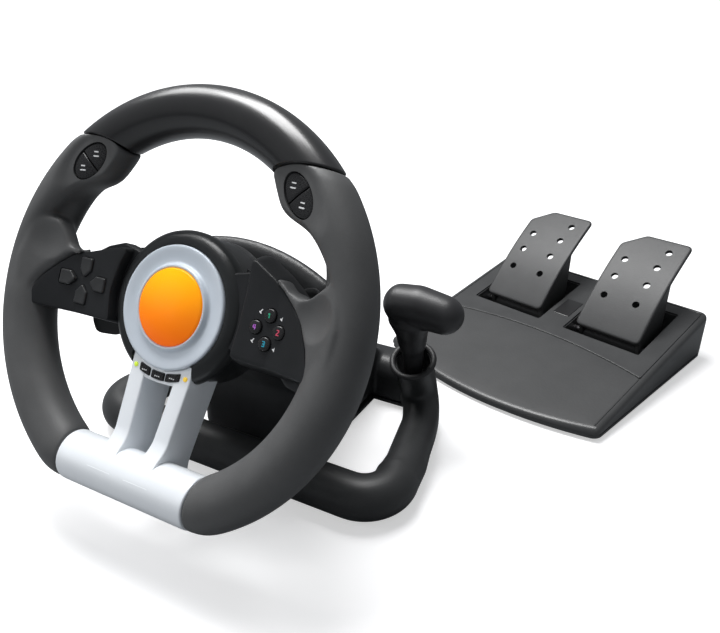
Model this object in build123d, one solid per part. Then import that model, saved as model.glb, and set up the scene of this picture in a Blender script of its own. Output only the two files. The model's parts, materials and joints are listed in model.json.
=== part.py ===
"""Racing wheel for a games computer, with its two-pedal floor unit.

Millimetres, +Z up, +X to the driver's right, +Y away from the driver.
The origin is the underside of the middle suction foot of the wheel's base.
Two local frames are used. WHEEL lies in the plane of the rim: its x is the
driver's right, its y runs up the rim and its z (called n) points at the driver.
PEDALS stands on the floor at the middle of the pedal unit's back edge.
"""
from build123d import *
import os
from math import atan2, cos, degrees, radians, sin, sqrt, tan

os.makedirs("parts", exist_ok=True)

# ---------------------------------------------------------------- driving sizes
# fits and walls
FIT = 0.05              # between seated pieces
SOFT_GAP = 0.3          # between a moving key and its hole
WALL = 2.5              # moulded shells
BIG = 600.0             # longer than anything here, for cutting
SLAB = 60.0             # half depth of the cutting slabs across the rim
SCREW_HEAD = 3.0
SCREW_HEAD_THICK = 2.2
SCREW_SHANK = 1.5
SCREW_FREE = 0.2        # clearance of a screw in its through hole
POST = 4.0              # radius of the posts the screws bite into

# rim
RIM_RADIUS = 112.0      # to the middle of the tube
RIM_TUBE = 15.0         # tube radius of the gloss top and the silver bar
GRIP_TUBE = 16.2        # tube radius of the rubber grips
CORE_TUBE = 8.0         # plastic core inside them
FLAT_DROP = 99.8        # from the rim's middle down to the flat bar
CORNER_RADIUS = 32.0    # where the flat bar turns up into the round
BAR_HALF = 47.0         # half length of the silver bar
SEAM_RISE = 16.15       # of the top cover's seams above the middle of the thumb pods
RAKE = 27.5             # rim plane leans this far from upright
RIM_HEIGHT = 141.5      # rim's middle above the floor
RIM_FORWARD = 165.0     # rim's middle in front of the origin

# hub
HUB_RADIUS = 45.5
HUB_FRONT = -3.5        # n of the bezel's front edge
HUB_SIDE = 44.0         # radius of the drum wall
HUB_SPLIT = -30.0       # n where the drum meets the rear cup
HUB_BACK = -44.0
RING_RADIUS = 35.9      # silver trim ring
RING_FACE = 0.0
DOME_RADIUS = 22.4
DOME_EDGE = 1.5
DOME_TOP = 6.0
HUB_POST_REACH = 30.0   # of the four screw posts from the hub's middle
HUB_BOARD = -18.0       # n of the hub circuit board's back
HUB_SCREW = 14.0
BOSS_THICK = 3.0        # of the boss behind the cup
BEZEL_DEPTH = 4.2       # of the recess for the trim ring
BEZEL_LIP = 8.0         # n the bezel's flare reaches back from its front

# spokes and lower strip
SPOKE_WIDTH = 11.0
SPOKE_TOP_X = 16.5
SPOKE_FOOT_X = 13.75
SPOKE_TOP = -38.0
SPOKE_FOOT = -88.0
SPOKE_TOP_FACE = -2.8
SPOKE_FOOT_FACE = 3.5
SPOKE_TOP_DEPTH = 26.0
SPOKE_FOOT_DEPTH = 24.0
STRIP_HALF = 22.0
STRIP_LOW = -42.0
STRIP_SAG = 2.2
STRIP_FACE = -2.8
STRIP_THICK = 9.0
MENU_KEYS = {"menu_button_left": -11.0, "menu_button_middle": -1.0, "menu_button_right": 9.6}
MENU_WIDTHS = {"menu_button_left": 7.6, "menu_button_middle": 9.2, "menu_button_right": 9.6}
MENU_HEIGHT = 4.4
MENU_Y = -40.2
MENU_BOW = 0.012        # the outer keys follow the strip's curve
MENU_DEPTH = 5.0
MENU_PROUD = 1.0
LIGHT_X = 18.4
LIGHT_Y = -37.6
LIGHT_RADIUS = 1.5
LIGHT_DEPTH = 3.0
LIGHT_PROUD = 0.3

# side panels
PANEL_FACE = 2.0
PANEL_DEPTH = 15.0
PANEL_BACK = 2.4
PANEL_BOARD = 9.0       # board's front below the panel face
BOARD_THICK = 1.6
MEMBRANE_THICK = 2.0
PANEL_EDGES = (         # outline by the hub (x, y), then by the rim (inside its tube's middle, y)
    ((36, -18.5), (36, 30.5)),
    ((13, -18.5), (13, -8), (19, 4), (29, 12.5), (37, 18.5), (49, 25)),
)
PAD_TURNS = {"pad_left": 0, "pad_down": 90, "pad_right": 180, "pad_up": 270}
FACE_TURNS = {"key_right": 0, "key_top": 90, "key_left": 180, "key_bottom": 270}
KEYS_X = 67.4           # middle of each key group
KEYS_Y = 1.8
PAD_REACH = 11.5        # direction keys from their middle
PAD_LONG = 12.0
PAD_WIDE = 9.0
FACE_REACH = 7.6        # round keys from their middle
FACE_RADIUS = 3.7
KEY_PROUD = 1.6
KEY_TRAVEL = 1.0
KEY_LENGTH = 6.0
PAD_ROUND = 1.2

# thumb pods on the rim
POD_ANGLE = 44.7        # up the rim from level
POD_INSET = 9.0         # inside the middle of the rim's tube
POD_LONG = 17.0
POD_WIDE = 13.6
POD_TOP = 14.0
POD_FLOOR = 8.6
POD_KEY_LONG = 13.4
POD_KEY_WIDE = 10.0
POD_KEY_TOP = 15.2
POD_TRAVEL = 0.8
POD_CUT = 30.0          # half size of the slab that splits the two halves

# paddles behind the spokes
PADDLE_PIVOT_X = 34.0
PADDLE_PIVOT_N = -36.0
PADDLE_THICK = 3.0
PADDLE_OUT = 83.0
PADDLE_UP = 29.0
PADDLE_DOWN = -31.0
PADDLE_FACE_N = -27.0
PADDLE_PIN = 1.5
PADDLE_SLOT = 2.2       # free height round the lever in the cup's wall
PADDLE_HALF = 8.0       # half width of the lever where it enters the cup
PADDLE_EAR = 3.2        # half width of the ears that hold its pin
PADDLE_KNEE = 57.0      # x where the lever bends towards the grip

# steering shaft and column
SHAFT_RADIUS = 6.0
RUNNING = 0.08          # radial clearance of every turning fit
SHAFT_FLANGE = 17.0
FLANGE_THICK = 3.0
SHAFT_END = -134.0
HEAD_FRONT = -50.0
SLEEVE_RADIUS = 16.0
SLEEVE_BORE = 11.0
SLEEVE_END = -128.0
BUSH_LENGTH = 10.0
SENSOR_LENGTH = 14.0
SENSOR_RADIUS = 10.5
SLEEVE_FLANGE = 10.0    # the sleeve's flange beyond its tube
SLEEVE_FLANGE_THICK = 3.0
SHAFT_FREE = 6.0        # clearance of the shaft in the housing's front wall

# base housing
HEAD_HALF = 70.0
HEAD_CROWN = 51.0
HEAD_SHOULDER = 34.0
HEAD_LOW = -30.0
HEAD_DEPTH = 72.0
HEAD_TAIL_HALF = 50.0
HEAD_TAIL_CROWN = 30.0
HEAD_CHAMFER = 14.0     # across the lower edges of the head
SPINE_HALF = 47.0
SPINE_FRONT = -100.0
SPINE_BACK = 26.0
WING_HALF = 84.0
WING_FRONT = -4.0
WING_BACK = 31.0
WING_TOP = 39.0
WING_ROUND = 15.0
WING_CORNER = 12.0
FOOT_HEIGHT = 3.0
PLATE_THICK = 2.5
FOOT_RADIUS = 13.0
CLAMP_HOLE = 4.0        # radius of the threaded insert under the base
CLAMP_DEPTH = 14.0
CLAMP_Y = -26.0
INSERT_WALL = 1.5       # of the metal insert in the clamp hole
BASE_SCREW = 18.0
FOOT_STEM = 4.0         # radius of a foot's stem in the bottom plate
FOOT_SPOTS = ((0, 0), (-50, 14), (50, 14), (-30, -84), (30, -84))
MAIN_BOARD = (-40.0, -12.0, -19.0, 17.0)
BOARD_Z = 14.0          # underside of the main circuit board
BOARD_POSTS = ((-36, -12), (-36, 14), (-16, -12), (-16, 14))
SOCKET_X = 26.0         # pedal socket in the rear wall
SOCKET_W = 13.0
SOCKET_H = 11.0
SOCKET_DEPTH = 12.0
GLAND_X = -26.0         # lead gland in the rear wall
GLAND_RADIUS = 5.0
GLAND_BORE = 2.4
PORT_Z = 17.0
SADDLE_HALF = 10.0

# grip loop and shifter
LOOP_TUBE = 15.0
LOOP_WALL = 2.5
LOOP_FRONT = -126.5     # y of the front bar's middle
LOOP_HALF = 92.7        # half of the straight front bar
LOOP_CORNER = 21.1
LOOP_TURN = 102.0       # degrees round each front corner
LOOP_ARM = 70.0
LOOP_BEND = 60.0
LOOP_BEND_TURN = 25.0
LOOP_TAIL = 12.0
COLLAR_TUBE = 14.6      # outer radius of the shifter's collar
COLLAR_FOOT_X = 88.0    # where it meets the arm
COLLAR_X = 90.0         # middle of the shifter's ring
COLLAR_Y = -27.0
COLLAR_Z = 60.5
COLLAR_LEAN = 27.0      # towards the driver
LEVER_LEAN = 10.0       # of the lever above the ring
LIP_RADIUS = 14.7
LIP_TUBE = 2.2
STALK_RADIUS = 9.2
STALK_BALL = 8.2        # where it passes the ring
STALK_NECK = 7.2        # just above the ring
STALK_FOOT = 6.5
STALK_STEP = 9.0        # above the ring, where it is full size again
LEVER_PIVOT = 24.0      # below the ring
LEVER_PIN = 2.0
KNOB_RISE = 50.0        # knob above the ring
KNOB_SHIFT = 9.0        # its middle sits to the right of the stalk
KNOB_RADIUS = 13.0
KNOB_HALF = 16.0

# pedal unit
PEDAL_X = 171.35
PEDAL_Y = 231.25
PEDAL_YAW = -16.9
BASE_WIDTH = 206.0
BASE_LENGTH = 184.4
BASE_BULGE = 19.0
BASE_FRONT_HEIGHT = 11.0
BASE_BACK_HEIGHT = 43.3
BASE_CORNER = 8.0
PAD_FOOT = 3.0
WELL_IN = 12.0
WELL_EDGE = 20.0        # from a well to the base's side
WELL_BACK = -17.0
WELL_FRONT = -88.0
TREAD_SIDE = 6.0        # from the tread's side to the well's
TREAD_LENGTH = 103.0
TREAD_THICK = 3.6
TREAD_ANGLE = 40.5
TREAD_Y = -78.0
TREAD_Z = 31.0
TREAD_HOLE = 3.1
TREAD_COLUMNS = (12.0, 17.5)    # of holes, from the tread's left and right sides
TREAD_ROWS = (33.0, 53.0, 72.0)
TREAD_SINGLE = (15.5, 90.0)     # the last hole, from the right side
AXLE_RADIUS = 3.0
AXLE_Y = -62.0
AXLE_Z = 18.0
PEDAL_HUB = 7.0
WEB_THICK = 3.2
TREAD_CUT = (18.0, 15.0)
TREAD_ROUND = 4.0
WEB_REACH = 0.62        # of the tread's length carried by the webs
PLAQUE = (-8.0, 8.0, -72.0, -46.0)
PLAQUE_PROUD = 0.4
POST_EDGE = 13.0        # from the outer posts to the base's side
PEDAL_SCREW = 14.0
PAD_EDGE = 23.0         # from the outer pads to the base's side
PAD_SIZE = (22.0, 14.0)
SPRING_WALL = 2.4
PEDAL_SENSOR = 7.0      # radius of the pedal's position sensor

# ---------------------------------------------------------------- local frames
RIM_POS = Vector(0, -RIM_FORWARD, RIM_HEIGHT)
LEAN = radians(RAKE)
WHEEL = Plane(origin=RIM_POS, x_dir=(1, 0, 0), z_dir=(0, -cos(LEAN), sin(LEAN)))
YAW = radians(PEDAL_YAW)
PEDALS = Plane(origin=(PEDAL_X, PEDAL_Y, 0), x_dir=(cos(YAW), sin(YAW), 0), z_dir=(0, 0, 1))
nodes = {}


def keep(name, *pieces, frame=None):
    """Store a sub-part as one or more separate solids."""
    solids = []
    for piece in pieces:
        placed = piece if frame is None else frame.location * piece
        solids.extend(placed.solids())
    nodes[name] = solids


# ---------------------------------------------------------------- small shapes
def block(x0, x1, y0, y1, z0, z1):
    """A box between two corners."""
    middle = Pos((x0 + x1) / 2, (y0 + y1) / 2, (z0 + z1) / 2)
    return middle * Box(x1 - x0, y1 - y0, z1 - z0)


def rod(radius, start, end):
    """A round bar between two points."""
    first = Vector(*start)
    along = Vector(*end) - first
    plane = Plane(origin=first, z_dir=along)
    return plane.location * extrude(Circle(radius), along.length)


def disc(radius, x, y, z0, z1):
    """An upright round bar."""
    return Pos(x, y, z0) * extrude(Circle(radius), z1 - z0)


def turned(points):
    """A solid of revolution about Z from (radius, height) corners."""
    return revolve(Plane.XZ * make_face(Polyline(*points, close=True)), Axis.Z)


def bent_bar(middle, bend, tube, start, turn):
    """Part of a torus about Z: a round bar bent round a middle point."""
    section = Plane.XZ * Pos(bend, 0) * Circle(tube)
    return Pos(middle[0], middle[1], 0) * Rot(0, 0, start) * revolve(section, Axis.Z, turn)


def prism(points, z0, z1):
    """A straight-sided outline from z0 up to z1."""
    return Pos(0, 0, z0) * extrude(make_face(Polyline(*points, close=True)), z1 - z0)


def side_prism(points, x0, x1):
    """A (y, z) outline carried along X from x0 to x1."""
    face = make_face(Polyline(*points, close=True))
    return Pos(x0, 0, 0) * extrude(Plane.YZ * face, x1 - x0)


def both_sides(shape):
    """The shape and its mirror image across the middle plane."""
    return shape + mirror(shape, Plane.YZ)


def screw(x, y, z, length, direction):
    """A pan-head screw: head at z, shank running the given way along Z."""
    top = z - SCREW_HEAD_THICK * direction
    head = disc(SCREW_HEAD, x, y, min(z, top), max(z, top))
    tip = z + length * direction
    shank = disc(SCREW_SHANK, x, y, min(z, tip), max(z, tip))
    return head + shank


# ---------------------------------------------------------------- rim
pod_x = (RIM_RADIUS - POD_INSET) * cos(radians(POD_ANGLE))
pod_y = (RIM_RADIUS - POD_INSET) * sin(radians(POD_ANGLE))
seam_height = pod_y + SEAM_RISE
corner_x = sqrt((RIM_RADIUS - FLAT_DROP) * (RIM_RADIUS + FLAT_DROP - 2 * CORNER_RADIUS))
corner_y = CORNER_RADIUS - FLAT_DROP
corner_end = degrees(atan2(corner_y, corner_x))


def flat_ring(tube):
    """The whole rim as a round bar: a circle with a flat bottom."""
    over = bent_bar((0, 0), RIM_RADIUS, tube, corner_end, 180 - 2 * corner_end)
    corner = bent_bar((corner_x, corner_y), CORNER_RADIUS, tube, -90, 90 + corner_end)
    flat = rod(tube, (-corner_x, -FLAT_DROP, 0), (corner_x, -FLAT_DROP, 0))
    return over + both_sides(corner) + flat


core_hole = flat_ring(CORE_TUBE + FIT)
thin_skin = flat_ring(RIM_TUBE) - core_hole
thick_skin = flat_ring(GRIP_TUBE) - core_hole
bar_zone = block(-BAR_HALF, BAR_HALF, -BIG, -FLAT_DROP / 2, -SLAB, SLAB)
top_zone = block(-BIG, BIG, seam_height, BIG, -SLAB, SLAB)
side_zone = block(0, BIG, -BIG, seam_height - FIT, -SLAB, SLAB)

keep("rim_core", flat_ring(CORE_TUBE), frame=WHEEL)
keep("rim_top_cover", thin_skin & top_zone, frame=WHEEL)

pod_place = Pos(pod_x, pod_y, 0) * Rot(0, 0, POD_ANGLE + 90)


def pod_oval(long_half, wide_half, z0, z1):
    """An oval boss on the right pod, long way round the rim."""
    return pod_place * Pos(0, 0, z0) * extrude(Ellipse(long_half, wide_half), z1 - z0)


pod_boss = pod_oval(POD_LONG, POD_WIDE, -GRIP_TUBE / 2, POD_TOP) & side_zone
pod_well = pod_oval(POD_KEY_LONG + SOFT_GAP, POD_KEY_WIDE + SOFT_GAP, POD_FLOOR, 2 * POD_TOP)
grip = (thick_skin & side_zone) - bar_zone
grip = grip + (pod_boss - core_hole) - pod_well
bar_gap = block(-BAR_HALF - FIT, BAR_HALF + FIT, -BIG, -FLAT_DROP / 2, -SLAB, SLAB)
right_grip = grip - bar_gap
keep("right_grip", right_grip, frame=WHEEL)
keep("left_grip", mirror(right_grip, Plane.YZ), frame=WHEEL)

pod_bottom = POD_FLOOR + POD_TRAVEL + SOFT_GAP
pod_key = pod_oval(POD_KEY_LONG, POD_KEY_WIDE, pod_bottom, POD_KEY_TOP)
pod_split = pod_place * block(-SOFT_GAP / 2, SOFT_GAP / 2, -POD_CUT, POD_CUT, 0, POD_CUT)
pod_upper = pod_place * block(0, POD_CUT, -POD_CUT, POD_CUT, 0, POD_CUT)
upper_key = (pod_key & pod_upper) - pod_split
lower_key = (pod_key - pod_upper) - pod_split
keep("right_pod_button_upper", upper_key, frame=WHEEL)
keep("right_pod_button_lower", lower_key, frame=WHEEL)
keep("left_pod_button_upper", mirror(upper_key, Plane.YZ), frame=WHEEL)
keep("left_pod_button_lower", mirror(lower_key, Plane.YZ), frame=WHEEL)

# ---------------------------------------------------------------- silver lower frame
spoke_length = SPOKE_TOP - SPOKE_FOOT
spoke_tilt = degrees(atan2(SPOKE_TOP_X - SPOKE_FOOT_X, spoke_length))
spoke_side = [
    (0, SPOKE_TOP_FACE),
    (-spoke_length, SPOKE_FOOT_FACE),
    (-spoke_length - 4, SPOKE_FOOT_FACE - SPOKE_FOOT_DEPTH),
    (0, SPOKE_TOP_FACE - SPOKE_TOP_DEPTH),
]
spoke = side_prism(spoke_side, -SPOKE_WIDTH / 2, SPOKE_WIDTH / 2)
spoke = Pos(SPOKE_TOP_X, SPOKE_TOP, 0) * Rot(0, 0, -spoke_tilt) * spoke
strip_edge = ThreePointArc((-STRIP_HALF, STRIP_LOW), (0, STRIP_LOW - STRIP_SAG), (STRIP_HALF, STRIP_LOW))
strip_sides = Polyline((STRIP_HALF, STRIP_LOW), (STRIP_HALF, 0), (-STRIP_HALF, 0), (-STRIP_HALF, STRIP_LOW))
strip_face = make_face(Curve() + [strip_edge, strip_sides])
strip = Pos(0, 0, STRIP_FACE - STRIP_THICK) * extrude(strip_face, STRIP_THICK)
strip = strip - disc(RING_RADIUS + FIT, 0, 0, -40, 20)
menu_floor = STRIP_FACE - MENU_DEPTH


def menu_key(name, extra, z0, z1):
    """The outline of one menu key, or of its hole."""
    half_x = MENU_WIDTHS[name] / 2 + extra
    half_y = MENU_HEIGHT / 2 + extra
    x = MENU_KEYS[name]
    y = MENU_Y + MENU_BOW * x * x
    return block(x - half_x, x + half_x, y - half_y, y + half_y, z0, z1)


lower_frame = (thin_skin & bar_zone) + both_sides(spoke) + strip
lower_frame = lower_frame - core_hole
for name in MENU_KEYS:
    lower_frame = lower_frame - menu_key(name, SOFT_GAP, menu_floor, 20)
    key = menu_key(name, 0, menu_floor + KEY_TRAVEL + SOFT_GAP, STRIP_FACE + MENU_PROUD)
    keep(name, key, frame=WHEEL)
lights = []
light_foot = STRIP_FACE - LIGHT_DEPTH
for side in (-1, 1):
    hole = disc(LIGHT_RADIUS + FIT, side * LIGHT_X, LIGHT_Y, light_foot, 20)
    lower_frame = lower_frame - hole
    lights.append(disc(LIGHT_RADIUS, side * LIGHT_X, LIGHT_Y, light_foot, STRIP_FACE + LIGHT_PROUD))
keep("lower_frame", lower_frame, frame=WHEEL)
keep("indicator_lights", *lights, frame=WHEEL)

# ---------------------------------------------------------------- hub
bezel_floor = RING_FACE - BEZEL_DEPTH
drum = [
    (DOME_RADIUS - 4, bezel_floor - WALL),
    (HUB_SIDE - WALL, bezel_floor - WALL),
    (HUB_SIDE - WALL, HUB_SPLIT),
    (HUB_SIDE, HUB_SPLIT),
    (HUB_SIDE, HUB_FRONT - BEZEL_LIP),
    (HUB_RADIUS, HUB_FRONT - 3),
    (HUB_RADIUS, HUB_FRONT - 1),
    (HUB_RADIUS - 1, HUB_FRONT),
    (RING_RADIUS + 1, HUB_FRONT),
    (RING_RADIUS + FIT, HUB_FRONT - 1),
    (RING_RADIUS + FIT, bezel_floor),
    (DOME_RADIUS - 4, bezel_floor),
]
bezel = turned(drum)
post_places = []
for turn in (45, 135, 225, 315):
    post_places.append((HUB_POST_REACH * cos(radians(turn)), HUB_POST_REACH * sin(radians(turn))))
cup_floor = HUB_BACK + WALL
for x, y in post_places:
    bezel = bezel + disc(POST, x, y, cup_floor, bezel_floor - WALL)
strip_back = STRIP_FACE - STRIP_THICK - FIT
strip_room = block(-STRIP_HALF - FIT, STRIP_HALF + FIT, -80, -SPOKE_WIDTH, strip_back, 20)
strip_room = strip_room - disc(RING_RADIUS + FIT, 0, 0, -40, 20)
spoke_grown = side_prism(
    [(6, 20), (-spoke_length, 20), (-spoke_length - 4, -30), (6, SPOKE_TOP_FACE - SPOKE_TOP_DEPTH - FIT)],
    -SPOKE_WIDTH / 2 - FIT, SPOKE_WIDTH / 2 + FIT)
spoke_room = both_sides(Pos(SPOKE_TOP_X, SPOKE_TOP, 0) * Rot(0, 0, -spoke_tilt) * spoke_grown)
spoke_room = spoke_room & block(-40, 40, -60, SPOKE_TOP + FIT, -60, 20)
bezel = bezel - strip_room - spoke_room
for x, y in post_places:
    bezel = bezel - disc(SCREW_SHANK + FIT, x, y, cup_floor, cup_floor + HUB_SCREW)
keep("hub_bezel", bezel, frame=WHEEL)

ring_profile = [
    (DOME_RADIUS + FIT, bezel_floor),
    (RING_RADIUS, bezel_floor),
    (RING_RADIUS, RING_FACE - 0.8),
    (RING_RADIUS - 0.8, RING_FACE),
    (DOME_RADIUS + 3.4, RING_FACE - 1.4),
    (DOME_RADIUS + 2.2, RING_FACE + 1.2),
    (DOME_RADIUS + 1.0, RING_FACE + 1.5),
    (DOME_RADIUS + FIT, RING_FACE + 0.9),
]
keep("trim_ring", turned(ring_profile), frame=WHEEL)

dome_rise = DOME_TOP - DOME_EDGE
dome_ball = (DOME_RADIUS ** 2 + dome_rise ** 2) / (2 * dome_rise)
dome = disc(DOME_RADIUS, 0, 0, bezel_floor, DOME_TOP + 1)
dome = dome & (Pos(0, 0, DOME_TOP - dome_ball) * Sphere(dome_ball))
keep("centre_dome", dome, frame=WHEEL)

boss_radius = SHAFT_FLANGE + 3
cup = [
    (SHAFT_RADIUS + FIT, cup_floor),
    (SHAFT_RADIUS + FIT, HUB_BACK - BOSS_THICK),
    (boss_radius, HUB_BACK - BOSS_THICK),
    (boss_radius, HUB_BACK),
    (HUB_SIDE - 5, HUB_BACK),
    (HUB_SIDE, HUB_BACK + 5),
    (HUB_SIDE, HUB_SPLIT - FIT),
    (HUB_SIDE - WALL, HUB_SPLIT - FIT),
    (HUB_SIDE - WALL, cup_floor + 3),
    (HUB_SIDE - WALL - 3, cup_floor),
]
back_cup = turned(cup)
for x, y in post_places:
    back_cup = back_cup - disc(SCREW_SHANK + SCREW_FREE, x, y, HUB_BACK - 5, cup_floor + 1)
slot_half = PADDLE_THICK / 2 + PADDLE_SLOT
for side in (-1, 1):
    x0, x1 = sorted((side * (HUB_SIDE - 6), side * (HUB_SIDE + 6)))
    slot = block(x0, x1, -PADDLE_HALF - 1, PADDLE_HALF + 1, -slot_half, slot_half)
    slot = Pos(0, 0, PADDLE_PIVOT_N) * slot
    back_cup = back_cup - slot
ear_in = PADDLE_HALF + SOFT_GAP
ear_out = ear_in + WALL
for side in (-1, 1):
    for y0, y1 in ((-ear_out, -ear_in), (ear_in, ear_out)):
        x = side * PADDLE_PIVOT_X
        ear = block(x - PADDLE_EAR, x + PADDLE_EAR, y0, y1, cup_floor, PADDLE_PIVOT_N + PADDLE_EAR)
        back_cup = back_cup + ear
for side in (-1, 1):
    x = side * PADDLE_PIVOT_X
    pin_hole = rod(PADDLE_PIN + FIT, (x, -ear_out - 1, PADDLE_PIVOT_N), (x, ear_out + 1, PADDLE_PIVOT_N))
    back_cup = back_cup - pin_hole
keep("hub_back_cup", back_cup, frame=WHEEL)
pins = []
for side in (-1, 1):
    x = side * PADDLE_PIVOT_X
    pins.append(rod(PADDLE_PIN, (x, -ear_out, PADDLE_PIVOT_N), (x, ear_out, PADDLE_PIVOT_N)))
keep("paddle_pins", *pins, frame=WHEEL)

hub_board = disc(HUB_SIDE - WALL - FIT, 0, 0, HUB_BOARD, HUB_BOARD + BOARD_THICK)
for x, y in post_places:
    hub_board = hub_board - disc(POST + FIT, x, y, -60, 20)
hub_board = hub_board - block(-30, 30, -60, SPOKE_TOP + 1.0, -60, 20)
keep("hub_circuit_board", hub_board, frame=WHEEL)
hub_screws = []
for x, y in post_places:
    hub_screws.append(screw(x, y, HUB_BACK, HUB_SCREW, 1))
keep("hub_screws", *hub_screws, frame=WHEEL)

# ---------------------------------------------------------------- side panels and their keys
drum_clear = disc(HUB_SIDE + FIT, 0, 0, -80, 40)
drum_clear = drum_clear + disc(HUB_RADIUS + FIT, 0, 0, HUB_FRONT - BEZEL_LIP - FIT, 40)
rim_clear = flat_ring(GRIP_TUBE + FIT)


panel_corners = [PANEL_EDGES[0][0]]
for depth, height in PANEL_EDGES[1]:
    panel_corners.append((RIM_RADIUS - depth, height))
panel_corners.append(PANEL_EDGES[0][1])


def panel_outline(inset, z0, z1):
    """The right panel's outline between hub and grip, moved in by an inset."""
    face = make_face(Polyline(*panel_corners, close=True))
    if inset:
        face = offset(face, -inset, kind=Kind.INTERSECTION)
    return Pos(0, 0, z0) * extrude(face, z1 - z0)


def clear_of_neighbours(shape, extra):
    """Trim a panel piece to the drum and the grip."""
    drum_wall = disc(HUB_RADIUS + FIT + extra, 0, 0, -80, 40)
    rim = flat_ring(GRIP_TUBE + FIT + extra)
    return shape - drum_wall - rim


panel_back = PANEL_FACE - PANEL_DEPTH
panel = panel_outline(0, panel_back, PANEL_FACE) - drum_clear - rim_clear
room = clear_of_neighbours(panel_outline(WALL, panel_back - 1, PANEL_FACE - WALL), WALL)
panel = panel - room


def pad_key(turn, extra, z0, z1):
    """A direction key: a rounded five-sided cap that points at the pad's middle."""
    half = PAD_WIDE / 2
    back = PAD_LONG / 2
    points = [(-back, -half), (back - half, -half), (back, 0), (back - half, half), (-back, half)]
    face = make_face(Polyline(*points, close=True))
    face = fillet(face.vertices(), PAD_ROUND)
    if extra:
        face = offset(face, extra)
    shape = Pos(-PAD_REACH, 0, z0) * extrude(face, z1 - z0)
    return Pos(KEYS_X, KEYS_Y) * Rot(0, 0, turn) * shape


def face_key(turn, extra, z0, z1):
    """A round key at one of four places round the group's middle."""
    x = KEYS_X + FACE_REACH * cos(radians(turn))
    y = KEYS_Y + FACE_REACH * sin(radians(turn))
    return disc(FACE_RADIUS + extra, x, y, z0, z1)


key_top = PANEL_FACE + KEY_PROUD
key_foot = key_top - KEY_LENGTH
board_front = PANEL_FACE - PANEL_BOARD
left_panel = panel
right_panel = panel
for name, turn in PAD_TURNS.items():
    # the left panel is built on the right and mirrored, so its keys are too
    left_panel = left_panel - pad_key(180 - turn, SOFT_GAP, -20, 20)
    keep(name, mirror(pad_key(180 - turn, 0, key_foot, key_top), Plane.YZ), frame=WHEEL)
for name, turn in FACE_TURNS.items():
    right_panel = right_panel - face_key(turn, SOFT_GAP, -20, 20)
    keep(name, face_key(turn, 0, key_foot, key_top), frame=WHEEL)
keep("right_panel", right_panel, frame=WHEEL)
keep("left_panel", mirror(left_panel, Plane.YZ), frame=WHEEL)

board_in = WALL + FIT
board = clear_of_neighbours(panel_outline(board_in, board_front - BOARD_THICK, board_front), board_in)
sheet = clear_of_neighbours(panel_outline(board_in, board_front, board_front + MEMBRANE_THICK), board_in)
lid = panel_outline(0, panel_back - PANEL_BACK, panel_back - FIT) - drum_clear - rim_clear
for name, piece in (("button_boards", board), ("key_membranes", sheet), ("spoke_back_covers", lid)):
    keep(name, piece, mirror(piece, Plane.YZ), frame=WHEEL)

# ---------------------------------------------------------------- paddles
paddle_side = [
    (PADDLE_PIVOT_X - 4, PADDLE_PIVOT_N - PADDLE_THICK / 2),
    (PADDLE_KNEE, PADDLE_PIVOT_N - PADDLE_THICK / 2),
    (PADDLE_OUT, PADDLE_FACE_N - PADDLE_THICK),
    (PADDLE_OUT, PADDLE_FACE_N),
    (PADDLE_KNEE - 1, PADDLE_PIVOT_N + PADDLE_THICK / 2),
    (PADDLE_PIVOT_X - 4, PADDLE_PIVOT_N + PADDLE_THICK / 2),
]
paddle_plate = Pos(0, 60, 0) * extrude(Plane.XZ * make_face(Polyline(*paddle_side, close=True)), 120)
paddle_shape = [
    (PADDLE_PIVOT_X - 4, -PADDLE_HALF), (50, -PADDLE_HALF), (58, PADDLE_DOWN + 6),
    (PADDLE_OUT - 5, PADDLE_DOWN), (PADDLE_OUT, PADDLE_DOWN + 8), (PADDLE_OUT, PADDLE_UP - 12),
    (PADDLE_OUT - 9, PADDLE_UP), (60, PADDLE_UP - 4), (50, PADDLE_HALF), (PADDLE_PIVOT_X - 4, PADDLE_HALF),
]
right_paddle = paddle_plate & prism(paddle_shape, -80, 0)
right_paddle = right_paddle + rod(
    3.0, (PADDLE_PIVOT_X, -PADDLE_HALF, PADDLE_PIVOT_N), (PADDLE_PIVOT_X, PADDLE_HALF, PADDLE_PIVOT_N))
right_paddle = right_paddle - rod(
    PADDLE_PIN + RUNNING, (PADDLE_PIVOT_X, -20, PADDLE_PIVOT_N), (PADDLE_PIVOT_X, 20, PADDLE_PIVOT_N))
keep("right_paddle", right_paddle, frame=WHEEL)
keep("left_paddle", mirror(right_paddle, Plane.YZ), frame=WHEEL)

# ---------------------------------------------------------------- steering shaft and column
shaft = disc(SHAFT_RADIUS, 0, 0, SHAFT_END, cup_floor)
shaft = shaft + disc(SHAFT_FLANGE, 0, 0, cup_floor, cup_floor + FLANGE_THICK)
keep("steering_shaft", shaft, frame=WHEEL)
front_wall = HEAD_FRONT - WALL
sleeve = turned([
    (SLEEVE_BORE, front_wall), (SLEEVE_RADIUS + SLEEVE_FLANGE, front_wall),
    (SLEEVE_RADIUS + SLEEVE_FLANGE, front_wall - SLEEVE_FLANGE_THICK),
    (SLEEVE_RADIUS, front_wall - SLEEVE_FLANGE_THICK), (SLEEVE_RADIUS, SLEEVE_END), (SLEEVE_BORE, SLEEVE_END),
])
keep("column_sleeve", sleeve, frame=WHEEL)


def bush(z0):
    """A plain bearing between sleeve and shaft."""
    outer = SLEEVE_BORE - FIT / 2
    inner = SHAFT_RADIUS + RUNNING
    return disc(outer, 0, 0, z0, z0 + BUSH_LENGTH) - disc(inner, 0, 0, z0 - 1, z0 + BUSH_LENGTH + 1)


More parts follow.
